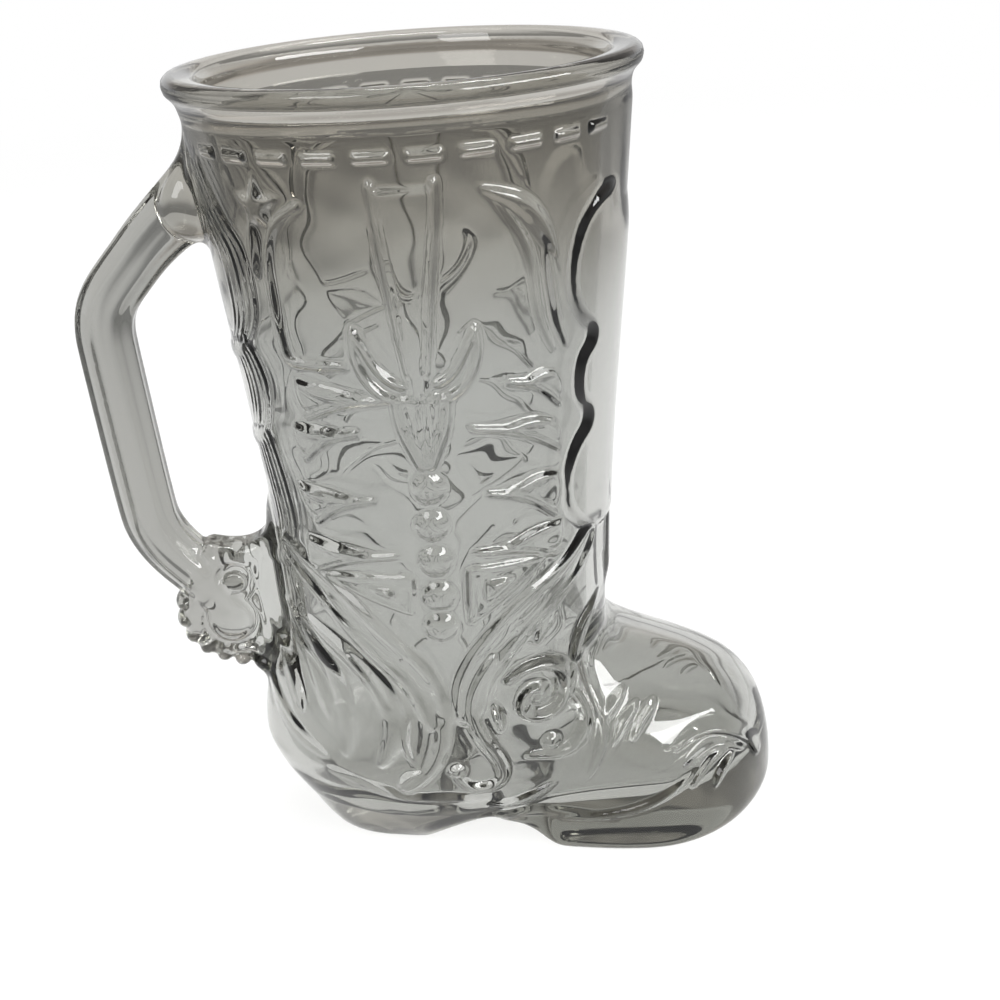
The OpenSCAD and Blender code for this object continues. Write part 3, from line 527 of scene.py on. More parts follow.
class Chart:
    """Height map of raised ornament on one side, in millimetres."""

    def __init__(self, low, high):
        self.low = low
        self.shape = [int((h - s) / CELL) + 1 for s, h in zip(low, high)]
        self.height = np.zeros(self.shape, np.float32)

    def window(self, points, margin):
        points = np.asarray(points)
        first = np.floor((points.min(0) - margin - self.low) / CELL).astype(int)
        last = np.ceil((points.max(0) + margin - self.low) / CELL).astype(int)
        first, last = np.clip(first, 0, self.shape), np.clip(last, 0, self.shape)
        view = (slice(first[0], last[0]), slice(first[1], last[1]))
        u = (self.low[0] + CELL * np.arange(first[0], last[0]))[:, None]
        v = (self.low[1] + CELL * np.arange(first[1], last[1]))[None, :]
        return view, u, v

    def ridge(self, path, w, h=RELIEF_H, thin=0.25, cut=False):
        """Rounded cord along a path, thinner towards its ends."""
        path = rounded(path)
        view, u, v = self.window(path, w)
        d, along = path_distance(u, v, path)
        half = w / 2 * (thin + (1 - thin) * np.sqrt(np.sin(math.pi * along).clip(0, 1)))
        shape = h * np.clip(1 - (d / half) ** 2, 0, 1) ** CORD_ROUND
        shape = shape * (2 * half / w) ** CORD_SINKING
        self._add(view, shape, cut)

    def plateau(self, outline, h=RELIEF_H, bevel=1.0, curved=True, cut=False):
        """Raised flat shape with sloping edges."""
        if curved:
            outline = rounded(list(outline) + list(outline[:2]))[1:-1]
        view, u, v = self.window(outline, 1.0)
        d = outline_distance(u, v, outline)
        self._add(view, h * ease(-d / bevel), cut)

    def leaf(self, start, end, bend, w, h=RELIEF_H):
        """Pointed leaf from start to end, bowed sideways, with a keeled back."""
        start, end = np.array(start, float), np.array(end, float)
        mid, d = (start + end) / 2, end - start
        side = np.array([-d[1], d[0]]) / np.hypot(*d)
        path = rounded([start, mid + side * bend * 2, end], LEAF_STEPS)
        view, u, v = self.window(path, w)
        distance, along = path_distance(u, v, path)
        half = w / 2 * np.sin(math.pi * along.clip(0, 1)) ** LEAF_TAPER + 1e-3
        self._add(view, h * ease(LEAF_KEEL * (1 - distance / half)), False)

    def disc(self, centre, r, h=RELIEF_H, ring=0.0):
        """Round boss like a lens, in a sunk ring where one is asked for."""
        centre = np.array(centre, float)
        view, u, v = self.window([centre - r, centre + r], 2.0)
        d = np.hypot(u - centre[0], v - centre[1])
        sunk = ring * np.clip(1 - ((d - r - RING_OUT) / RING_HALF_W) ** 2, 0, 1)
        self._add(view, sunk, True)
        self._add(view, h * np.clip(1 - (d / r) ** 2, 0, 1) ** LENS_ROUND, False)

    def _add(self, view, shape, cut):
        old = self.height[view]
        lower, higher = np.maximum(old - shape, DEEPEST), np.maximum(old, shape)
        self.height[view] = lower if cut else higher

    def soften(self, steps):
        self.height = blur(blur(self.height, steps), steps)

    def at(self, u, v):
        """Height at places, read between the cells."""
        i = np.clip((u - self.low[0]) / CELL, 0, self.shape[0] - 1.001)
        j = np.clip((v - self.low[1]) / CELL, 0, self.shape[1] - 1.001)
        a, b = i.astype(int), j.astype(int)
        s, t = i - a, j - b
        m = self.height
        return ((1 - s) * ((1 - t) * m[a, b] + t * m[a, b + 1])
                + s * ((1 - t) * m[a + 1, b] + t * m[a + 1, b + 1]))


def on_shaft(*places):
    """Arc length and height of places given as angle from the side centre line and height."""
    return [(math.radians(a) * float(wall_r(z)), z) for a, z in places]


STUD_LEVELS = (87.2, 79.4, 71.9, 64.5, 57.8)
STUD_ANGLE, STUD_R, STUD_H, STUD_RING = -0.8, 3.2, 1.8, 0.9

# Back border: each cord's shift in degrees and its height
BACK_CORDS = ((0, 0.75), (-3.4, 0.35), (-6.6, 0.5), (-10, 0.3), (-13, 0.35))
BACK_CORD_W, BACK_CORD_SHARE = 1.5, 0.8

# Front centre line on the shaft's chart, as (start, length) of each passage: the strip
# fades out towards the top, and a plain swell stands above the lowest level
STRIP_FADE_U, STRIP_FADE_V = (42, 9), (126, 13)
SWELL_U, SWELL_TOP, SWELL_LOW = (38, 16), (150, 5), 60


def shaft_chart():
    chart = Chart(*SHAFT_CORNERS)
    borders(chart)
    panel(chart)
    strap_and_head(chart)
    tongues(chart)
    for z in STUD_LEVELS:
        chart.disc(on_shaft((STUD_ANGLE, z))[0], STUD_R, STUD_H, STUD_RING)
    triangles(chart)
    yoke(chart, on_shaft)
    chart.soften(1)
    return chart


def borders(chart):
    """Wavy raised strip down the front, and the paired cords down the back."""
    front = [(100, 138), (72, 140), (60, 139), (53, 137), (46.5, 133.5), (43, 128), (42, 122.5),
             (43.5, 117.5), (48, 113), (54, 110.5), (48, 108), (46, 103), (47.5, 97.5), (54, 94),
             (48, 91.5), (44.5, 88.5), (42, 84.5), (42, 78.5), (45.5, 74), (53, 69.5), (70, 66.5),
             (100, 66)]
    chart.plateau(on_shaft(*front), STRIP_H, 3.0)
    chart.plateau(on_shaft((100, 74), (74, 74), (76, 44), (100, 44)), 0.95, 2.0)
    chart.plateau(on_shaft((-110, 150), (-72, 150), (-70, 60), (-110, 60)), 0.25, 9.0, cut=True)
    lobes = (((-64, 146), (-55, 136), (-48, 131.5), (-47.5, 123.5), (-49.5, 117.5),
              (-57, 112.5)),
             ((-58, 113.5), (-52, 108), (-51.5, 103), (-54.5, 97.5), (-60, 94)),
             ((-58, 95), (-55, 89), (-53, 82), (-52, 75.5), (-58, 68)))
    for lobe in lobes:
        for shift, h in BACK_CORDS:
            cord = [(a + shift, z + shift / 10) for a, z in lobe]
            chart.ridge(on_shaft(*cord), BACK_CORD_W, BACK_CORD_SHARE * h, 0.6)
        a, z = lobe[-1]
        chart.ridge(on_shaft((a, z), (a - 16, z - 4.5), (a - 50, z - 5)), 4.0, 0.5, 0.7)
    front_edge(chart)


def front_edge(chart):
    """Fade of the front strip towards the top, and the plain swell of the centre line."""
    u = (chart.low[0] + CELL * np.arange(chart.shape[0]))[:, None]
    v = (chart.low[1] + CELL * np.arange(chart.shape[1]))[None, :]
    fade = rise(u, *STRIP_FADE_U) * rise(v, *STRIP_FADE_V)
    swell = FRONT_EDGE_H * rise(u, *SWELL_U) * (1 - rise(v, *SWELL_TOP))
    chart.height = np.maximum(chart.height * (1 - fade), swell * (v > SWELL_LOW))


def panel(chart):
    """Edge of the back panel, with the star and the leaves beside it."""
    chart.ridge(on_shaft((-27, 140.5), (-35, 137), (-39, 131), (-39.8, 122), (-39.5, 113),
                         (-38, 111.3), (-30, 111.2), (-21, 111.4)), 2.2, 1.0, 0.6)
    chart.leaf(*on_shaft((-44.2, 126.5), (-42, 137.5)), 0.0, 5.0, 1.2)
    star = [(-39 + 9 * s * math.sin(a), 140 + 6.6 * s * math.cos(a))
            for s, a in ((1 - 0.5 * (i % 2), math.radians(36 * i)) for i in range(10))]
    chart.plateau(on_shaft(*star), 1.2, 1.9, curved=False)
    chart.leaf(*on_shaft((18, 142), (39, 127.5)), 1.8, 5.0, 1.3)
    chart.ridge(on_shaft((20, 141), (29, 133), (32, 126), (33, 118), (39, 110)), 1.8, 0.8)
    chart.ridge(on_shaft((36, 130), (38, 122), (40, 115), (44, 110)), 2.0, 0.9)


def strap_and_head(chart):
    """Pull strap, and the steer head that hangs under it."""
    strap = [(-8.2, 143.5), (7.2, 143.5), (1.8, 103), (-4.2, 103)]
    chart.plateau(on_shaft(*strap), 0.7, 1.2, curved=False)
    for edge in (((-8, 144), (-7.4, 137), (-5.6, 124), (-3.4, 110)),
                 ((6.8, 144), (6.2, 137), (3.6, 124), (1.6, 110))):
        chart.ridge(on_shaft(*edge), 1.7, 1.2, 0.7)
    head = [(-7.2, 106.5), (-4.5, 107.6), (-0.8, 105), (2.9, 107.6), (5.8, 106.5), (6, 103),
            (4.6, 98), (1.6, 92.6), (-0.8, 91), (-3, 92.6), (-5.8, 98), (-7.4, 103)]
    chart.plateau(on_shaft(*head), 1.1, 1.6)
    for side in (((-7.6, 105.5), (-6.8, 99.5), (-3.4, 94), (-0.9, 89.5)),
                 ((6.2, 105.5), (5.4, 99.5), (1.8, 94), (-0.7, 89.5))):
        chart.ridge(on_shaft(*side), 2.2, 1.8, 0.6)
    chart.ridge(on_shaft((-0.6, 106), (-0.6, 101), (-0.7, 95)), 1.8, 0.7, cut=True)
    ears = ((((-4, 104.2), (-10, 105.2), (-15.2, 109), (-17.4, 113.5), (-17, 118.6)),
             ((-4.5, 107.6), (-8.6, 108.6), (-12, 111.4), (-14.6, 115), (-17, 118.6))),
            (((2.6, 104.2), (8.6, 105.2), (13.2, 108.6), (15.2, 112.6), (14.8, 117.6)),
             ((3.4, 107.6), (7.2, 108.6), (10, 111), (12.4, 114.2), (14.8, 117.6))))
    for outer, inner in ears:
        middle = [((a + c) / 2, (z + y) / 2) for (a, z), (c, y) in zip(outer, inner)]
        chart.ridge(on_shaft(*middle), 4.4, 0.8, 0.3)
        chart.ridge(on_shaft(*middle), 2.6, 0.9, 0.3, cut=True)
        chart.ridge(on_shaft(*outer), 1.8, 1.6, 0.6)
        chart.ridge(on_shaft(*inner), 1.4, 1.6, 0.6)


def tongues(chart):
    """Flame tongues that reach into the panel, each with a raised lens along its upper side."""
    front = [((24, 106), (40, 106.5), (42, 99)), ((12.6, 98.2), (40, 97), (42, 90)),
             ((16.8, 84.6), (42, 86), (41, 76.5)), ((12.2, 72.8), (44, 75.5), (41, 68))]
    back = [((-9.6, 105), (-38, 109), (-36, 100.5)), ((-20, 98.4), (-42, 99.6), (-40, 91.5)),
            ((-17.6, 84.8), (-46, 87), (-40, 78.5)), ((-12.6, 73.2), (-46, 75.8), (-46, 67))]
    lens_ends = (0.3, 1)
    for tip, top, foot in front + back:
        out = (1.06 * (top[0] + foot[0]) / 2, (top[1] + foot[1]) / 2)
        crown = ((tip[0] + top[0]) / 2, (tip[1] + top[1]) / 2 + 0.9)
        hollow = ((tip[0] + foot[0]) / 2, (2 * tip[1] + foot[1]) / 3 + 0.8)
        chart.plateau(on_shaft(tip, crown, top, out, foot, hollow), 0.9, 1.4)
        chart.ridge(on_shaft(tip, hollow, foot), 1.4, 1.2, 0.7)
        lens = [(tip[0] + s * (top[0] - tip[0]), tip[1] + s * (top[1] - tip[1]) - 1.2)
                for s in lens_ends]
        chart.leaf(*on_shaft(*lens), 0.5, 3.2, 1.3)


def triangles(chart):
    for corners in (((-39, 67.5), (-9, 68.6), (-9.6, 61)), ((9.6, 69.3), (36, 68.6), (9, 58.4))):
        middle = np.mean(corners, axis=0)
        inner = [middle + 0.5 * (np.array(c) - middle) for c in corners]
        chart.plateau(on_shaft(*corners), 0.6, 1.0, curved=False)
        chart.plateau(on_shaft(*inner), 1.9, 1.4, curved=False)
        for p, q in zip(corners, corners[1:] + corners[:1]):
            halfway = ((p[0] + q[0]) / 2, (p[1] + q[1]) / 2)
            chart.ridge(on_shaft(p, halfway, q), 1.3, 1.0, 0.7)


def yoke(chart, place):
    """Broad hollowed bands that run down both sides of the studs; drawn on both charts."""
    right = [(58, 68), (49, 64), (40, 61.3), (31.4, 59), (18.5, 53.5), (8, 45.7), (6, 38)]
    left = [(-60, 70), (-50, 67), (-40, 63.8), (-26, 55.6), (-12, 48), (-7, 42), (-5, 37)]
    for path in (right, left):
        chart.ridge(place(*path), 8.6, 1.6, 0.75)
        chart.ridge(place(*path), 5.0, 1.2, 0.6, cut=True)


def to_foot(*places):
    """Place along the boot and height, of places given as angle and height on the shaft."""
    return [(float(wall_r(z)) * math.sin(math.radians(a)), z) for a, z in places]


WELT_PATH = [(-26, 22), (-22.3, 21.2), (-15.7, 18.6), (-11.5, 17), (-3.3, 16.8), (5, 15)]


def foot_chart():
    chart = Chart(*FOOT_CORNERS)
    heel_scrolls(chart)
    yoke(chart, to_foot)
    side_scrolls(chart)
    vamp_leaves(chart)
    chart.ridge(WELT_PATH, 3.6, 0.35, 0.5)
    chart.soften(1)
    return chart


def heel_scrolls(chart):
    """Nested S bands that sweep from the back of the shaft down to the welt."""
    outer = [(-11, 54), (-6.8, 48), (-3.6, 42), (-3, 37), (-3.6, 31), (-6, 25), (-10.5, 20)]
    chart.ridge(outer, 6.4, 1.7, 0.5)
    chart.ridge([(x - 1.2, z) for x, z in outer], 3.2, 1.2, 0.4, cut=True)
    chart.ridge([(-27, 55), (-20, 51), (-14.9, 46), (-11.7, 40.2), (-11.2, 33.7), (-15, 25.7)],
                5.4, 1.2, 0.4)
    chart.ridge([(-19, 50.5), (-15.2, 46), (-12.4, 40)], 2.4, 0.8, 0.3, cut=True)
    chart.ridge([(-34, 56), (-27, 49), (-22, 42), (-20.6, 34), (-22.5, 27)], 4.4, 0.8, 0.4)
    chart.leaf((-36.5, 45), (-31, 34), 0.8, 5.4, 0.7)
    chart.leaf((-29.8, 45), (-25, 35), 0.8, 5.0, 0.8)
    chart.ridge([(-38, 36), (-33, 29), (-27, 25.5)], 4.0, 0.6, 0.4)
    chart.leaf((-8.4, 38), (-8.2, 25.5), -1.0, 2.4, 1.3)
    chart.leaf((-12, 19.4), (-7, 24.6), 0.5, 3.4, 1.5)


def side_scrolls(chart):
    """Tail of the front yoke with its curl, the spiral, and the arcs and leaves round it."""
    tail = [(9, 50), (5, 44), (3.6, 38), (5.6, 31), (8.8, 25), (9.4, 20.5), (6.4, 18),
            (2.6, 18.6), (0.2, 22)]
    chart.ridge(tail, 3.2, 1.7, 0.6)
    chart.disc((0.1, 23.8), 1.9, 1.7)
    centre = np.array((17.4, 38.2))
    spiral = []
    for t in np.linspace(0, 7.6, 24):
        turn = 2.4 - 1.05 * t
        spiral.append(centre + (8.2 - 0.9 * t) * np.array((math.cos(turn), math.sin(turn))))
    chart.ridge(spiral, 2.8, 2.2, 0.6)
    chart.disc(centre, 2.0, 1.6)
    chart.ridge([(23.5, 37), (26.6, 33), (26.4, 28), (22.2, 23.4), (14, 24.4)], 2.8, 1.8)
    chart.ridge([(26.2, 44), (27.8, 37), (30.4, 30), (28.8, 22.7), (26, 17.6)], 2.8, 1.5)
    chart.disc((19.4, 26.7), 1.8, 1.6)
    chart.leaf((8.4, 39), (9.4, 32), 0.3, 2.4, 1.3)
    chart.leaf((17.6, 50.5), (25, 60), 0.8, 4.6, 1.8)
    chart.leaf((13.6, 54), (19.5, 62), 0.6, 2.8, 1.5)
    chart.leaf((25, 42.5), (31, 53.5), 0.8, 3.4, 1.4)
    chart.leaf((5.5, 12.5), (20, 17), -0.8, 3.2, 1.2)
    chart.ridge([(3, 8), (14.7, 10), (22.4, 9.4), (32, 8.4)], 2.6, 0.5)


def vamp_leaves(chart):
    """Leaves where the vamp meets the ankle, the toe cap's arcs and its fan of strokes."""
    for start, end in (((31.5, 24.5), (37.6, 31.4)), ((35.6, 25), (41.4, 31)), ((29, 28), (35, 34))):
        chart.leaf(start, end, 0.5, 3.0, 1.2)
    cap_arc = [(44.5, 22.6), (48, 24.4), (52.4, 24.6), (57.4, 22.4), (61.4, 18.6), (63, 14.6)]
    chart.ridge(cap_arc, 2.2, 1.6, 0.5)
    chart.ridge([(46, 18.6), (51, 21.6), (55.6, 21), (59.4, 18)], 2.0, 1.4, 0.4)
    fan = (((47.4, 14.2), (52.8, 19.4)), ((52.4, 12.6), (57, 18.2)), ((49.4, 17.2), (55.6, 20)))
    for start, end in fan:
        chart.leaf(start, end, 0.5, 2.4, 1.4)
    chart.ridge([(20, 8), (28, 8.7), (36.6, 10.8), (43.8, 14.2), (48.1, 17.7), (50.8, 20.6)], 1.9, 0.9)


STITCH_Z, STITCH_STEP, STITCH_START = 148.5, 360 / 29, -44.4
STITCH_HALF_L, STITCH_HALF_W, STITCH_ROUND = 3.5, 1.3, 0.9
STITCH_H, STITCH_BEVEL = 0.9, 1.2

# Passages of the relief, as (start, length): the stitches' fade in degrees from the side,
# foot's chart to shaft's, and the bare instep along the foot and off its middle
STITCH_FADE = (48, 20)
CHART_CHANGE = (50.0, 7.0)
BARE_FORWARD, BARE_ASIDE = (12.0, 8), (3, 10.0)


def relief_at(x, y, z):
    """Height of the ornament above the plain body at places in space."""
    around = np.arctan2(x, np.abs(y))
    shaft = shaft_chart().at(around * wall_r(z), z)
    bare = rise(x, *BARE_FORWARD) * (1 - rise(np.abs(y), *BARE_ASIDE))
    foot = foot_chart().at(x, z) * (1 - bare)
    share = rise(z, *CHART_CHANGE)
    height = share * shaft + (1 - share) * foot
    turn = np.degrees(np.arctan2(x, -y)) - STITCH_START
    arc = np.radians((turn + STITCH_STEP / 2) % STITCH_STEP - STITCH_STEP / 2) * MOUTH_R
    a = np.abs(arc) - STITCH_HALF_L + STITCH_ROUND
    b = np.abs(z - STITCH_Z) - STITCH_HALF_W + STITCH_ROUND
    edge = np.hypot(np.maximum(a, 0), np.maximum(b, 0)) + np.minimum(np.maximum(a, b), 0)
    edge = edge - STITCH_ROUND
    seen = 1 - rise(np.abs(np.degrees(around)), *STITCH_FADE)
    return np.maximum(height, STITCH_H * seen * ease(-edge / STITCH_BEVEL))


# How far apart two forms begin to flow into each other
LIP_BLEND, SPUR_BLEND, HANDLE_BLEND, LUG_BLEND, MOUTH_BLEND = 2.0, 1.2, 5.0, 0.8, 2.6
RELIEF_BAND = 0.75 * BAND_MM


def glass_field():
    """The whole mug: body with its relief, lip, handle, spur and lug, less the cavity."""
    body = body_field()
    near = np.abs(body) < RELIEF_BAND
    places = [axis[i].astype(float) for axis, i in zip(AXES, np.nonzero(near))]
    body[near] -= relief_at(*places)
    body = join(body, lip_field(), LIP_BLEND)
    arms = join(handle_field(), spur_field(), SPUR_BLEND)
    body = join(body, arms.astype(np.float32), HANDLE_BLEND)
    body = join(body, lug_field().astype(np.float32), LUG_BLEND)
    return cut(body, cavity_field(), MOUTH_BLEND)


def sample(field, points):
    """Field at places in millimetres, read between the voxels."""
    place = points / VOXEL - START
    cell = np.clip(np.floor(place).astype(int), 0, np.array(field.shape) - 2)
    share = place - cell
    total = np.zeros(len(points))
    for corner in np.ndindex(2, 2, 2):
        weight = np.prod(np.where(corner, share, 1 - share), axis=1)
        i, j, k = (cell + corner).T
        total += weight * field[i, j, k]
    return total


PULLS, LEAST_SLOPE = 2, 0.05
PULL_REACH, NORMAL_REACH = 0.5 * VOXEL, 0.6 * VOXEL


def gradient(field, points, reach):
    """Slope of the field along x, y and z, measured this far to both sides."""
    steps = reach * np.eye(3)
    change = np.stack([sample(field, points + s) - sample(field, points - s) for s in steps], 1)
    return change / (2 * reach)


def glass_mesh(field):
    """Mesh of the field's zero level, its points drawn onto that level."""
    field = np.clip(field, -BAND_MM / 2, BAND_MM / 2).astype(np.float32)
    grid = openvdb.FloatGrid(BAND_MM / 2)
    grid.gridClass = openvdb.GridClass.LEVEL_SET
    grid.copyFromArray(field, ijk=tuple(START))
    grid.transform = openvdb.createLinearTransform(VOXEL)
    points, triangles, quads = grid.convertToPolygons()
    points = points.astype(float)
    for _ in range(PULLS):
        slope = gradient(field, points, PULL_REACH)
        steepness = (slope ** 2).sum(1).clip(LEAST_SLOPE)
        points -= slope * (sample(field, points) / steepness)[:, None]
    slope = gradient(field, points, NORMAL_REACH)
    normals = slope / np.linalg.norm(slope, axis=1).clip(1e-6)[:, None]
    mesh = bpy.data.meshes.new("glass")
    mesh.from_pydata((points * MM).tolist(), [], [f[::-1].tolist() for f in (*triangles, *quads)])
    mesh.polygons.foreach_set("use_smooth", np.ones(len(mesh.polygons), bool))
    mesh.normals_split_custom_set_from_vertices(normals.tolist())
    return mesh


# Materials
def new_material(name):
    material = bpy.data.materials.new(name)
    material.use_nodes = True
    material.node_tree.nodes.clear()
    return material, material.node_tree.nodes, material.node_tree.links


def math_node(nodes, links, operation, *inputs):
    """Math node fed by sockets or plain numbers; gives back its output."""
    node = nodes.new("ShaderNodeMath")
    node.operation = operation
    for socket, value in zip(node.inputs, inputs):
        if isinstance(value, (int, float)):
            socket.default_value = value
        else:
            links.new(value, socket)
    return node.outputs[0]


def seen_ray(nodes, links):
    """1 for camera, glossy and transmission rays, 0 for the rays that carry light."""
    rays = nodes.new("ShaderNodeLightPath").outputs
    direct = math_node(nodes, links, "MAXIMUM", rays["Is Camera Ray"], rays["Is Glossy Ray"])
    return math_node(nodes, links, "MAXIMUM", direct, rays["Is Transmission Ray"])


def mix_shaders(nodes, links, share, first, second):
    """Output of the first shader where the share is 0, and of the second where it is 1."""
    mix = nodes.new("ShaderNodeMixShader")
    for socket, value in zip(mix.inputs, (share, first, second)):
        links.new(value, socket)
    return mix.outputs["Shader"]


def noise(nodes, links, place, scale, detail):
    """Soft noise over a place, about 0 to 1."""
    node = nodes.new("ShaderNodeTexNoise")
    node.inputs["Scale"].default_value = scale
    node.inputs["Detail"].default_value = detail
    links.new(place, node.inputs["Vector"])
    return node.outputs["Fac"]


def mix_colour(nodes, links, share, first, second):
    """Blend of two colours, each a socket or a plain colour."""
    node = nodes.new("ShaderNodeMix")
    node.data_type = "RGBA"
    links.new(share, node.inputs["Factor"])
    for name, colour in (("A", first), ("B", second)):
        socket = next(i for i in node.inputs if i.name == name and i.type == "RGBA")
        if isinstance(colour, tuple):
            socket.default_value = colour
        else:
            links.new(colour, socket)
    return next(o for o in node.outputs if o.type == "RGBA")


def passage(nodes, links, value, start, end, low, high, kind="SMOOTHSTEP"):
    """Passage from a low to a high level, while the value goes from start to end."""
    ramp = nodes.new("ShaderNodeMapRange")
    ramp.interpolation_type = kind
    levels = {"From Min": start, "From Max": end, "To Min": low, "To Max": high}
    for name, level in levels.items():
        ramp.inputs[name].default_value = level
    links.new(value, ramp.inputs["Value"])
    return ramp.outputs["Result"]


# Painted shade: the grey tint and the absorption below darken the clear glass to stand in for the
# shaded surroundings seen through it
PAINTED_SHADE_GLASS_TINT = (0.67, 0.677, 0.662, 1)
# Painted reflection: a darker, browner tint on the rim stands in for the dark surroundings its lip
# reflects
RIM_PAINTED_REFLECTION_COLOUR = (0.54, 0.524, 0.485, 1)
# Painted shade: a darker tint on the handle
HANDLE_PAINTED_SHADE_COLOUR = (0.49, 0.49, 0.472, 1)
PAINTED_SHADE_DEPTH_COLOUR = (0.08, 0.08, 0.0, 1)
PAINTED_SHADE_DEPTH_DENSITY = 24.0
SHADOW_COLOUR = (0.74, 0.74, 0.72, 1)
GLASS_IOR = 1.5

# Where the painted shade tint changes: along x from handle to body, and up z from body to rim, in
# metres
HANDLE_FULL, HANDLE_START = -0.050, -0.040
RIM_START, RIM_FULL = 0.105, 0.138

# Handled patches: scale and detail of the noise, its passage, and the greatest roughness
HANDLED_SCALE, HANDLED_DETAIL = 45, 4
HANDLED_START, HANDLED_FULL, ROUGHEST = 0.45, 0.75, 0.06


def glass_material():
    """Glass tinted grey, with a slightly warm absorption, as painted shade of the shaded surroundings
    seen through it, and with darker painted shade on rim and handle; lightly handled, whose shadow
    passes most of the light.
    """
    material, nodes, links = new_material("pressed_glass")
    glass = nodes.new("ShaderNodeBsdfPrincipled")
    place = nodes.new("ShaderNodeTexCoord")
    split = nodes.new("ShaderNodeSeparateXYZ")
    links.new(place.outputs["Object"], split.inputs["Vector"])
    # Masks for the painted shade: the handle's and the rim's darker tints
    handle = passage(nodes, links, split.outputs["X"], HANDLE_FULL, HANDLE_START, 1.0, 0.0)
    rim = passage(nodes, links, split.outputs["Z"], RIM_START, RIM_FULL, 0.0, 1.0)
    body = mix_colour(nodes, links, rim, PAINTED_SHADE_GLASS_TINT, RIM_PAINTED_REFLECTION_COLOUR)
    tint = mix_colour(nodes, links, handle, body, HANDLE_PAINTED_SHADE_COLOUR)
    links.new(tint, glass.inputs["Base Color"])
    glass.inputs["Transmission Weight"].default_value = 1
    glass.inputs["IOR"].default_value = GLASS_IOR
    handled = noise(nodes, links, place.outputs["Object"], HANDLED_SCALE, HANDLED_DETAIL)
    roughness = passage(nodes, links, handled, HANDLED_START, HANDLED_FULL, 0.0, ROUGHEST,
                        "LINEAR")
    links.new(roughness, glass.inputs["Roughness"])
    clear = nodes.new("ShaderNodeBsdfTransparent")
    clear.inputs["Color"].default_value = SHADOW_COLOUR
    shadow = nodes.new("ShaderNodeLightPath").outputs["Is Shadow Ray"]
    surface = mix_shaders(nodes, links, shadow, glass.outputs["BSDF"], clear.outputs["BSDF"])
    # Absorption as painted shade: it darkens the clear glass the way the shaded surroundings seen
    # through it would
    absorb = nodes.new("ShaderNodeVolumeAbsorption")
    absorb.inputs["Color"].default_value = PAINTED_SHADE_DEPTH_COLOUR
    absorb.inputs["Density"].default_value = PAINTED_SHADE_DEPTH_DENSITY
    out = nodes.new("ShaderNodeOutputMaterial")
    links.new(surface, out.inputs["Surface"])
    links.new(absorb.outputs["Volume"], out.inputs["Volume"])
    return material


# Floor: distances in metres from the glow's centre, x stretched, between which the glow
# dims as the glass sees it, and between which the glowing share grows from FLOOR_GLOW to 1
FLOOR_COLOUR = (0.9, 0.9, 0.9, 1)
GLOW_COLOUR = (1, 1, 1, 1)
GLOW_CENTRE, GLOW_STRETCH = (0, 0.22, 0), (1.6, 1, 1)
DIM_START, DIM_END, DIM_LEVEL = 0.2, 0.65, 0.42
FLOOR_GLOW, FULL_GLOW_START, FULL_GLOW_END = 0.74, 0.35, 1.0


def floor_material():
    """Pale floor that takes the shadow: mostly white by itself, dimmer far off in the glass."""
    material, nodes, links = new_material("pale_floor")
    matt = nodes.new("ShaderNodeBsdfDiffuse")
    matt.inputs["Color"].default_value = FLOOR_COLOUR
    glow = nodes.new("ShaderNodeEmission")
    glow.inputs["Color"].default_value = GLOW_COLOUR
    place = nodes.new("ShaderNodeTexCoord")
    away = nodes.new("ShaderNodeVectorMath")
    away.operation = "DISTANCE"
    away.inputs[1].default_value = GLOW_CENTRE
    stretch = nodes.new("ShaderNodeVectorMath")
    stretch.operation = "MULTIPLY"
    stretch.inputs[1].default_value = GLOW_STRETCH
    links.new(place.outputs["Object"], stretch.inputs[0])
    links.new(stretch.outputs["Vector"], away.inputs[0])
    distance = away.outputs["Value"]
    near = passage(nodes, links, distance, DIM_START, DIM_END, 1.0, DIM_LEVEL)
    camera = nodes.new("ShaderNodeLightPath").outputs["Is Camera Ray"]
    links.new(math_node(nodes, links, "MAXIMUM", near, camera), glow.inputs["Strength"])
    white = passage(nodes, links, distance, FULL_GLOW_START, FULL_GLOW_END, FLOOR_GLOW, 1.0)
    share = math_node(nodes, links, "MULTIPLY", seen_ray(nodes, links), white)
    surface = mix_shaders(nodes, links, share, matt.outputs["BSDF"], glow.outputs["Emission"])
    out = nodes.new("ShaderNodeOutputMaterial")
    links.new(surface, out.inputs["Surface"])
    return material


# Room: rows of (start, end, level at start, level at end), by direction from the mug, and
# for the patches by a noise
HEIGHT_LEVELS = (0.12, 0.4, 1.0, 0.68)
BEHIND_LEVELS = (-0.6, 0.4, 0.8, 1.0)
ASIDE_LEVELS = (0.5, 0.9, 1.0, 0.65)
PATCH_LEVELS = (0.42, 0.6, 0.62, 1.15)
OVERHEAD_SHARE = (0.12, 0.3, 0.0, 1.0)
PATCH_SCALE, PATCH_DETAIL = 2.6, 2
LOW_COLOUR, OVERHEAD_COLOUR = (1.0, 1.0, 1.0, 1), (1.0, 0.95, 0.9, 1)
FILL_COLOUR = (0.75, 0.75, 0.75, 1)


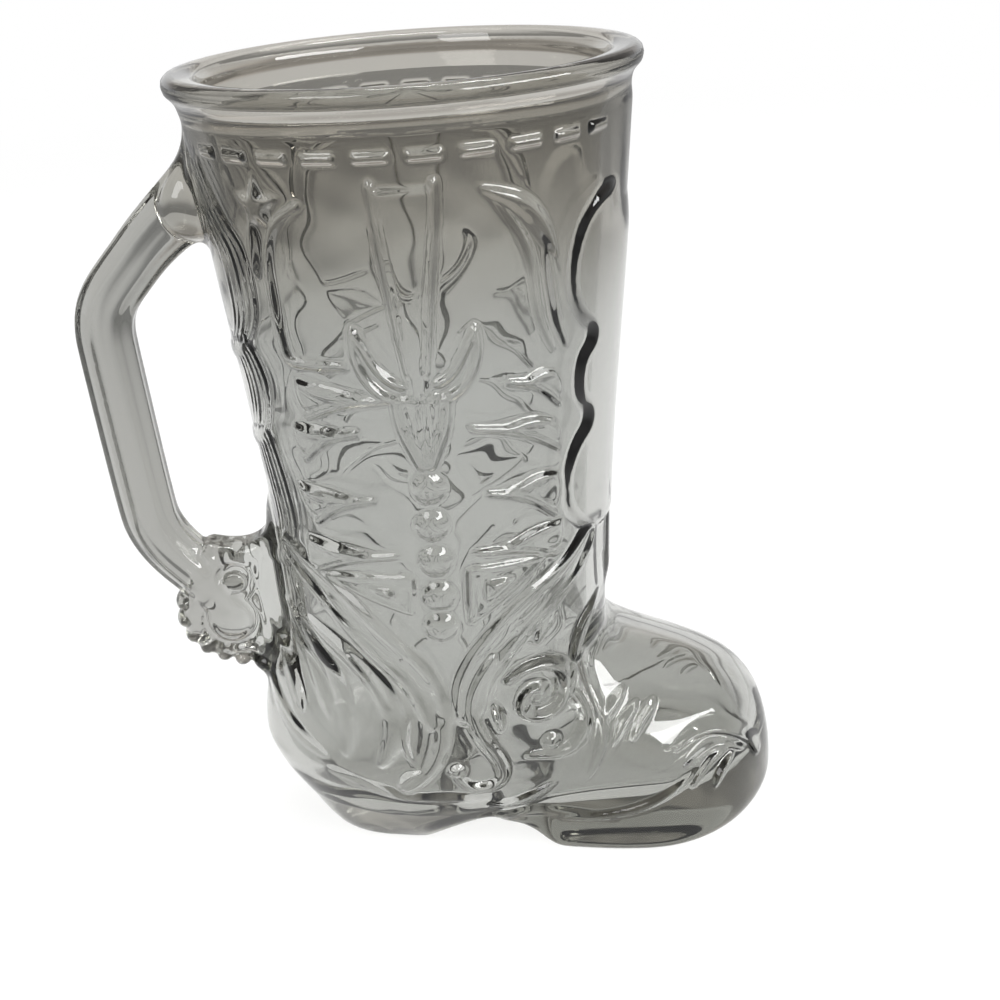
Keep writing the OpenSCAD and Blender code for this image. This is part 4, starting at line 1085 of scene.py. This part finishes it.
def make_world():
    """Studio room: white low down behind the mug, dimmer in front, patchy grey overhead."""
    world = bpy.data.worlds.new("studio")
    bpy.context.scene.world = world
    world.use_nodes = True
    nodes, links = world.node_tree.nodes, world.node_tree.links
    nodes.clear()
    place = nodes.new("ShaderNodeTexCoord")
    split = nodes.new("ShaderNodeSeparateXYZ")
    links.new(place.outputs["Generated"], split.inputs["Vector"])
    height = passage(nodes, links, split.outputs["Z"], *HEIGHT_LEVELS)
    behind = passage(nodes, links, split.outputs["Y"], *BEHIND_LEVELS)
    aside = math_node(nodes, links, "ABSOLUTE", split.outputs["X"])
    aside = passage(nodes, links, aside, *ASIDE_LEVELS)
    clouds = noise(nodes, links, place.outputs["Generated"], PATCH_SCALE, PATCH_DETAIL)
    patch = passage(nodes, links, clouds, *PATCH_LEVELS)
    overhead = passage(nodes, links, split.outputs["Z"], *OVERHEAD_SHARE)
    patch = math_node(nodes, links, "SUBTRACT", patch, 1.0)
    patch = math_node(nodes, links, "MULTIPLY_ADD", overhead, patch, 1.0)
    level = math_node(nodes, links, "MULTIPLY", height, behind)
    level = math_node(nodes, links, "MULTIPLY", level, patch)
    level = math_node(nodes, links, "MULTIPLY", level, aside)
    camera = nodes.new("ShaderNodeLightPath").outputs["Is Camera Ray"]
    seen = nodes.new("ShaderNodeBackground")
    links.new(math_node(nodes, links, "MAXIMUM", level, camera), seen.inputs["Strength"])
    warm = mix_colour(nodes, links, overhead, LOW_COLOUR, OVERHEAD_COLOUR)
    links.new(warm, seen.inputs["Color"])
    fill = nodes.new("ShaderNodeBackground")
    fill.inputs["Color"].default_value = FILL_COLOUR
    light = mix_shaders(nodes, links, seen_ray(nodes, links), fill.outputs["Background"],
                        seen.outputs["Background"])
    out = nodes.new("ShaderNodeOutputWorld")
    links.new(light, out.inputs["Surface"])


FLOOR_HALF, FLOOR_DROP = 6.0, 0.0003


def make_floor():
    """Floor just under the mug's base, so that the two faces don't meet."""
    mesh = bpy.data.meshes.new("floor")
    corners = [(-1, -1), (1, -1), (1, 1), (-1, 1)]
    points = [(FLOOR_HALF * x, FLOOR_HALF * y, -FLOOR_DROP) for x, y in corners]
    mesh.from_pydata(points, [], [(0, 1, 2, 3)])
    floor = bpy.data.objects.new("floor", mesh)
    bpy.context.scene.collection.objects.link(floor)
    floor.data.materials.append(floor_material())


# Lamps: place and size in metres, and power in watts
LAMPS = {"key_softbox": ((-0.55, -0.6, 0.85), (0.5, 0.5), 4),
         "side_softbox": ((0.76, -0.48, 0.58), (1.0, 0.3), 13),
         "top_softbox": ((0.1, 0.35, 1.1), (0.5, 0.06), 4)}


def make_lamp(name, place, size, watts):
    """Rectangular lamp that faces the mug's base."""
    data = bpy.data.lights.new(name, "AREA")
    data.shape = "RECTANGLE"
    data.size, data.size_y = size
    data.energy = watts
    lamp = bpy.data.objects.new(name, data)
    turn = Vector(place).to_track_quat("Z", "Y").to_matrix().to_4x4()
    lamp.matrix_world = Matrix.Translation(place) @ turn
    bpy.context.scene.collection.objects.link(lamp)


def make_mug():
    mesh = glass_mesh(glass_field())
    mug = bpy.data.objects.new("boot_glass", mesh)
    bpy.context.scene.collection.objects.link(mug)
    mesh.materials.append(glass_material())
    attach(mug, "root")
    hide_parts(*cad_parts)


make_camera()
make_mug()
make_floor()
make_world()
for lamp_name, (lamp_place, lamp_size, lamp_watts) in LAMPS.items():
    make_lamp(lamp_name, lamp_place, lamp_size, lamp_watts)
bpy.context.scene.view_settings.view_transform = "Standard"
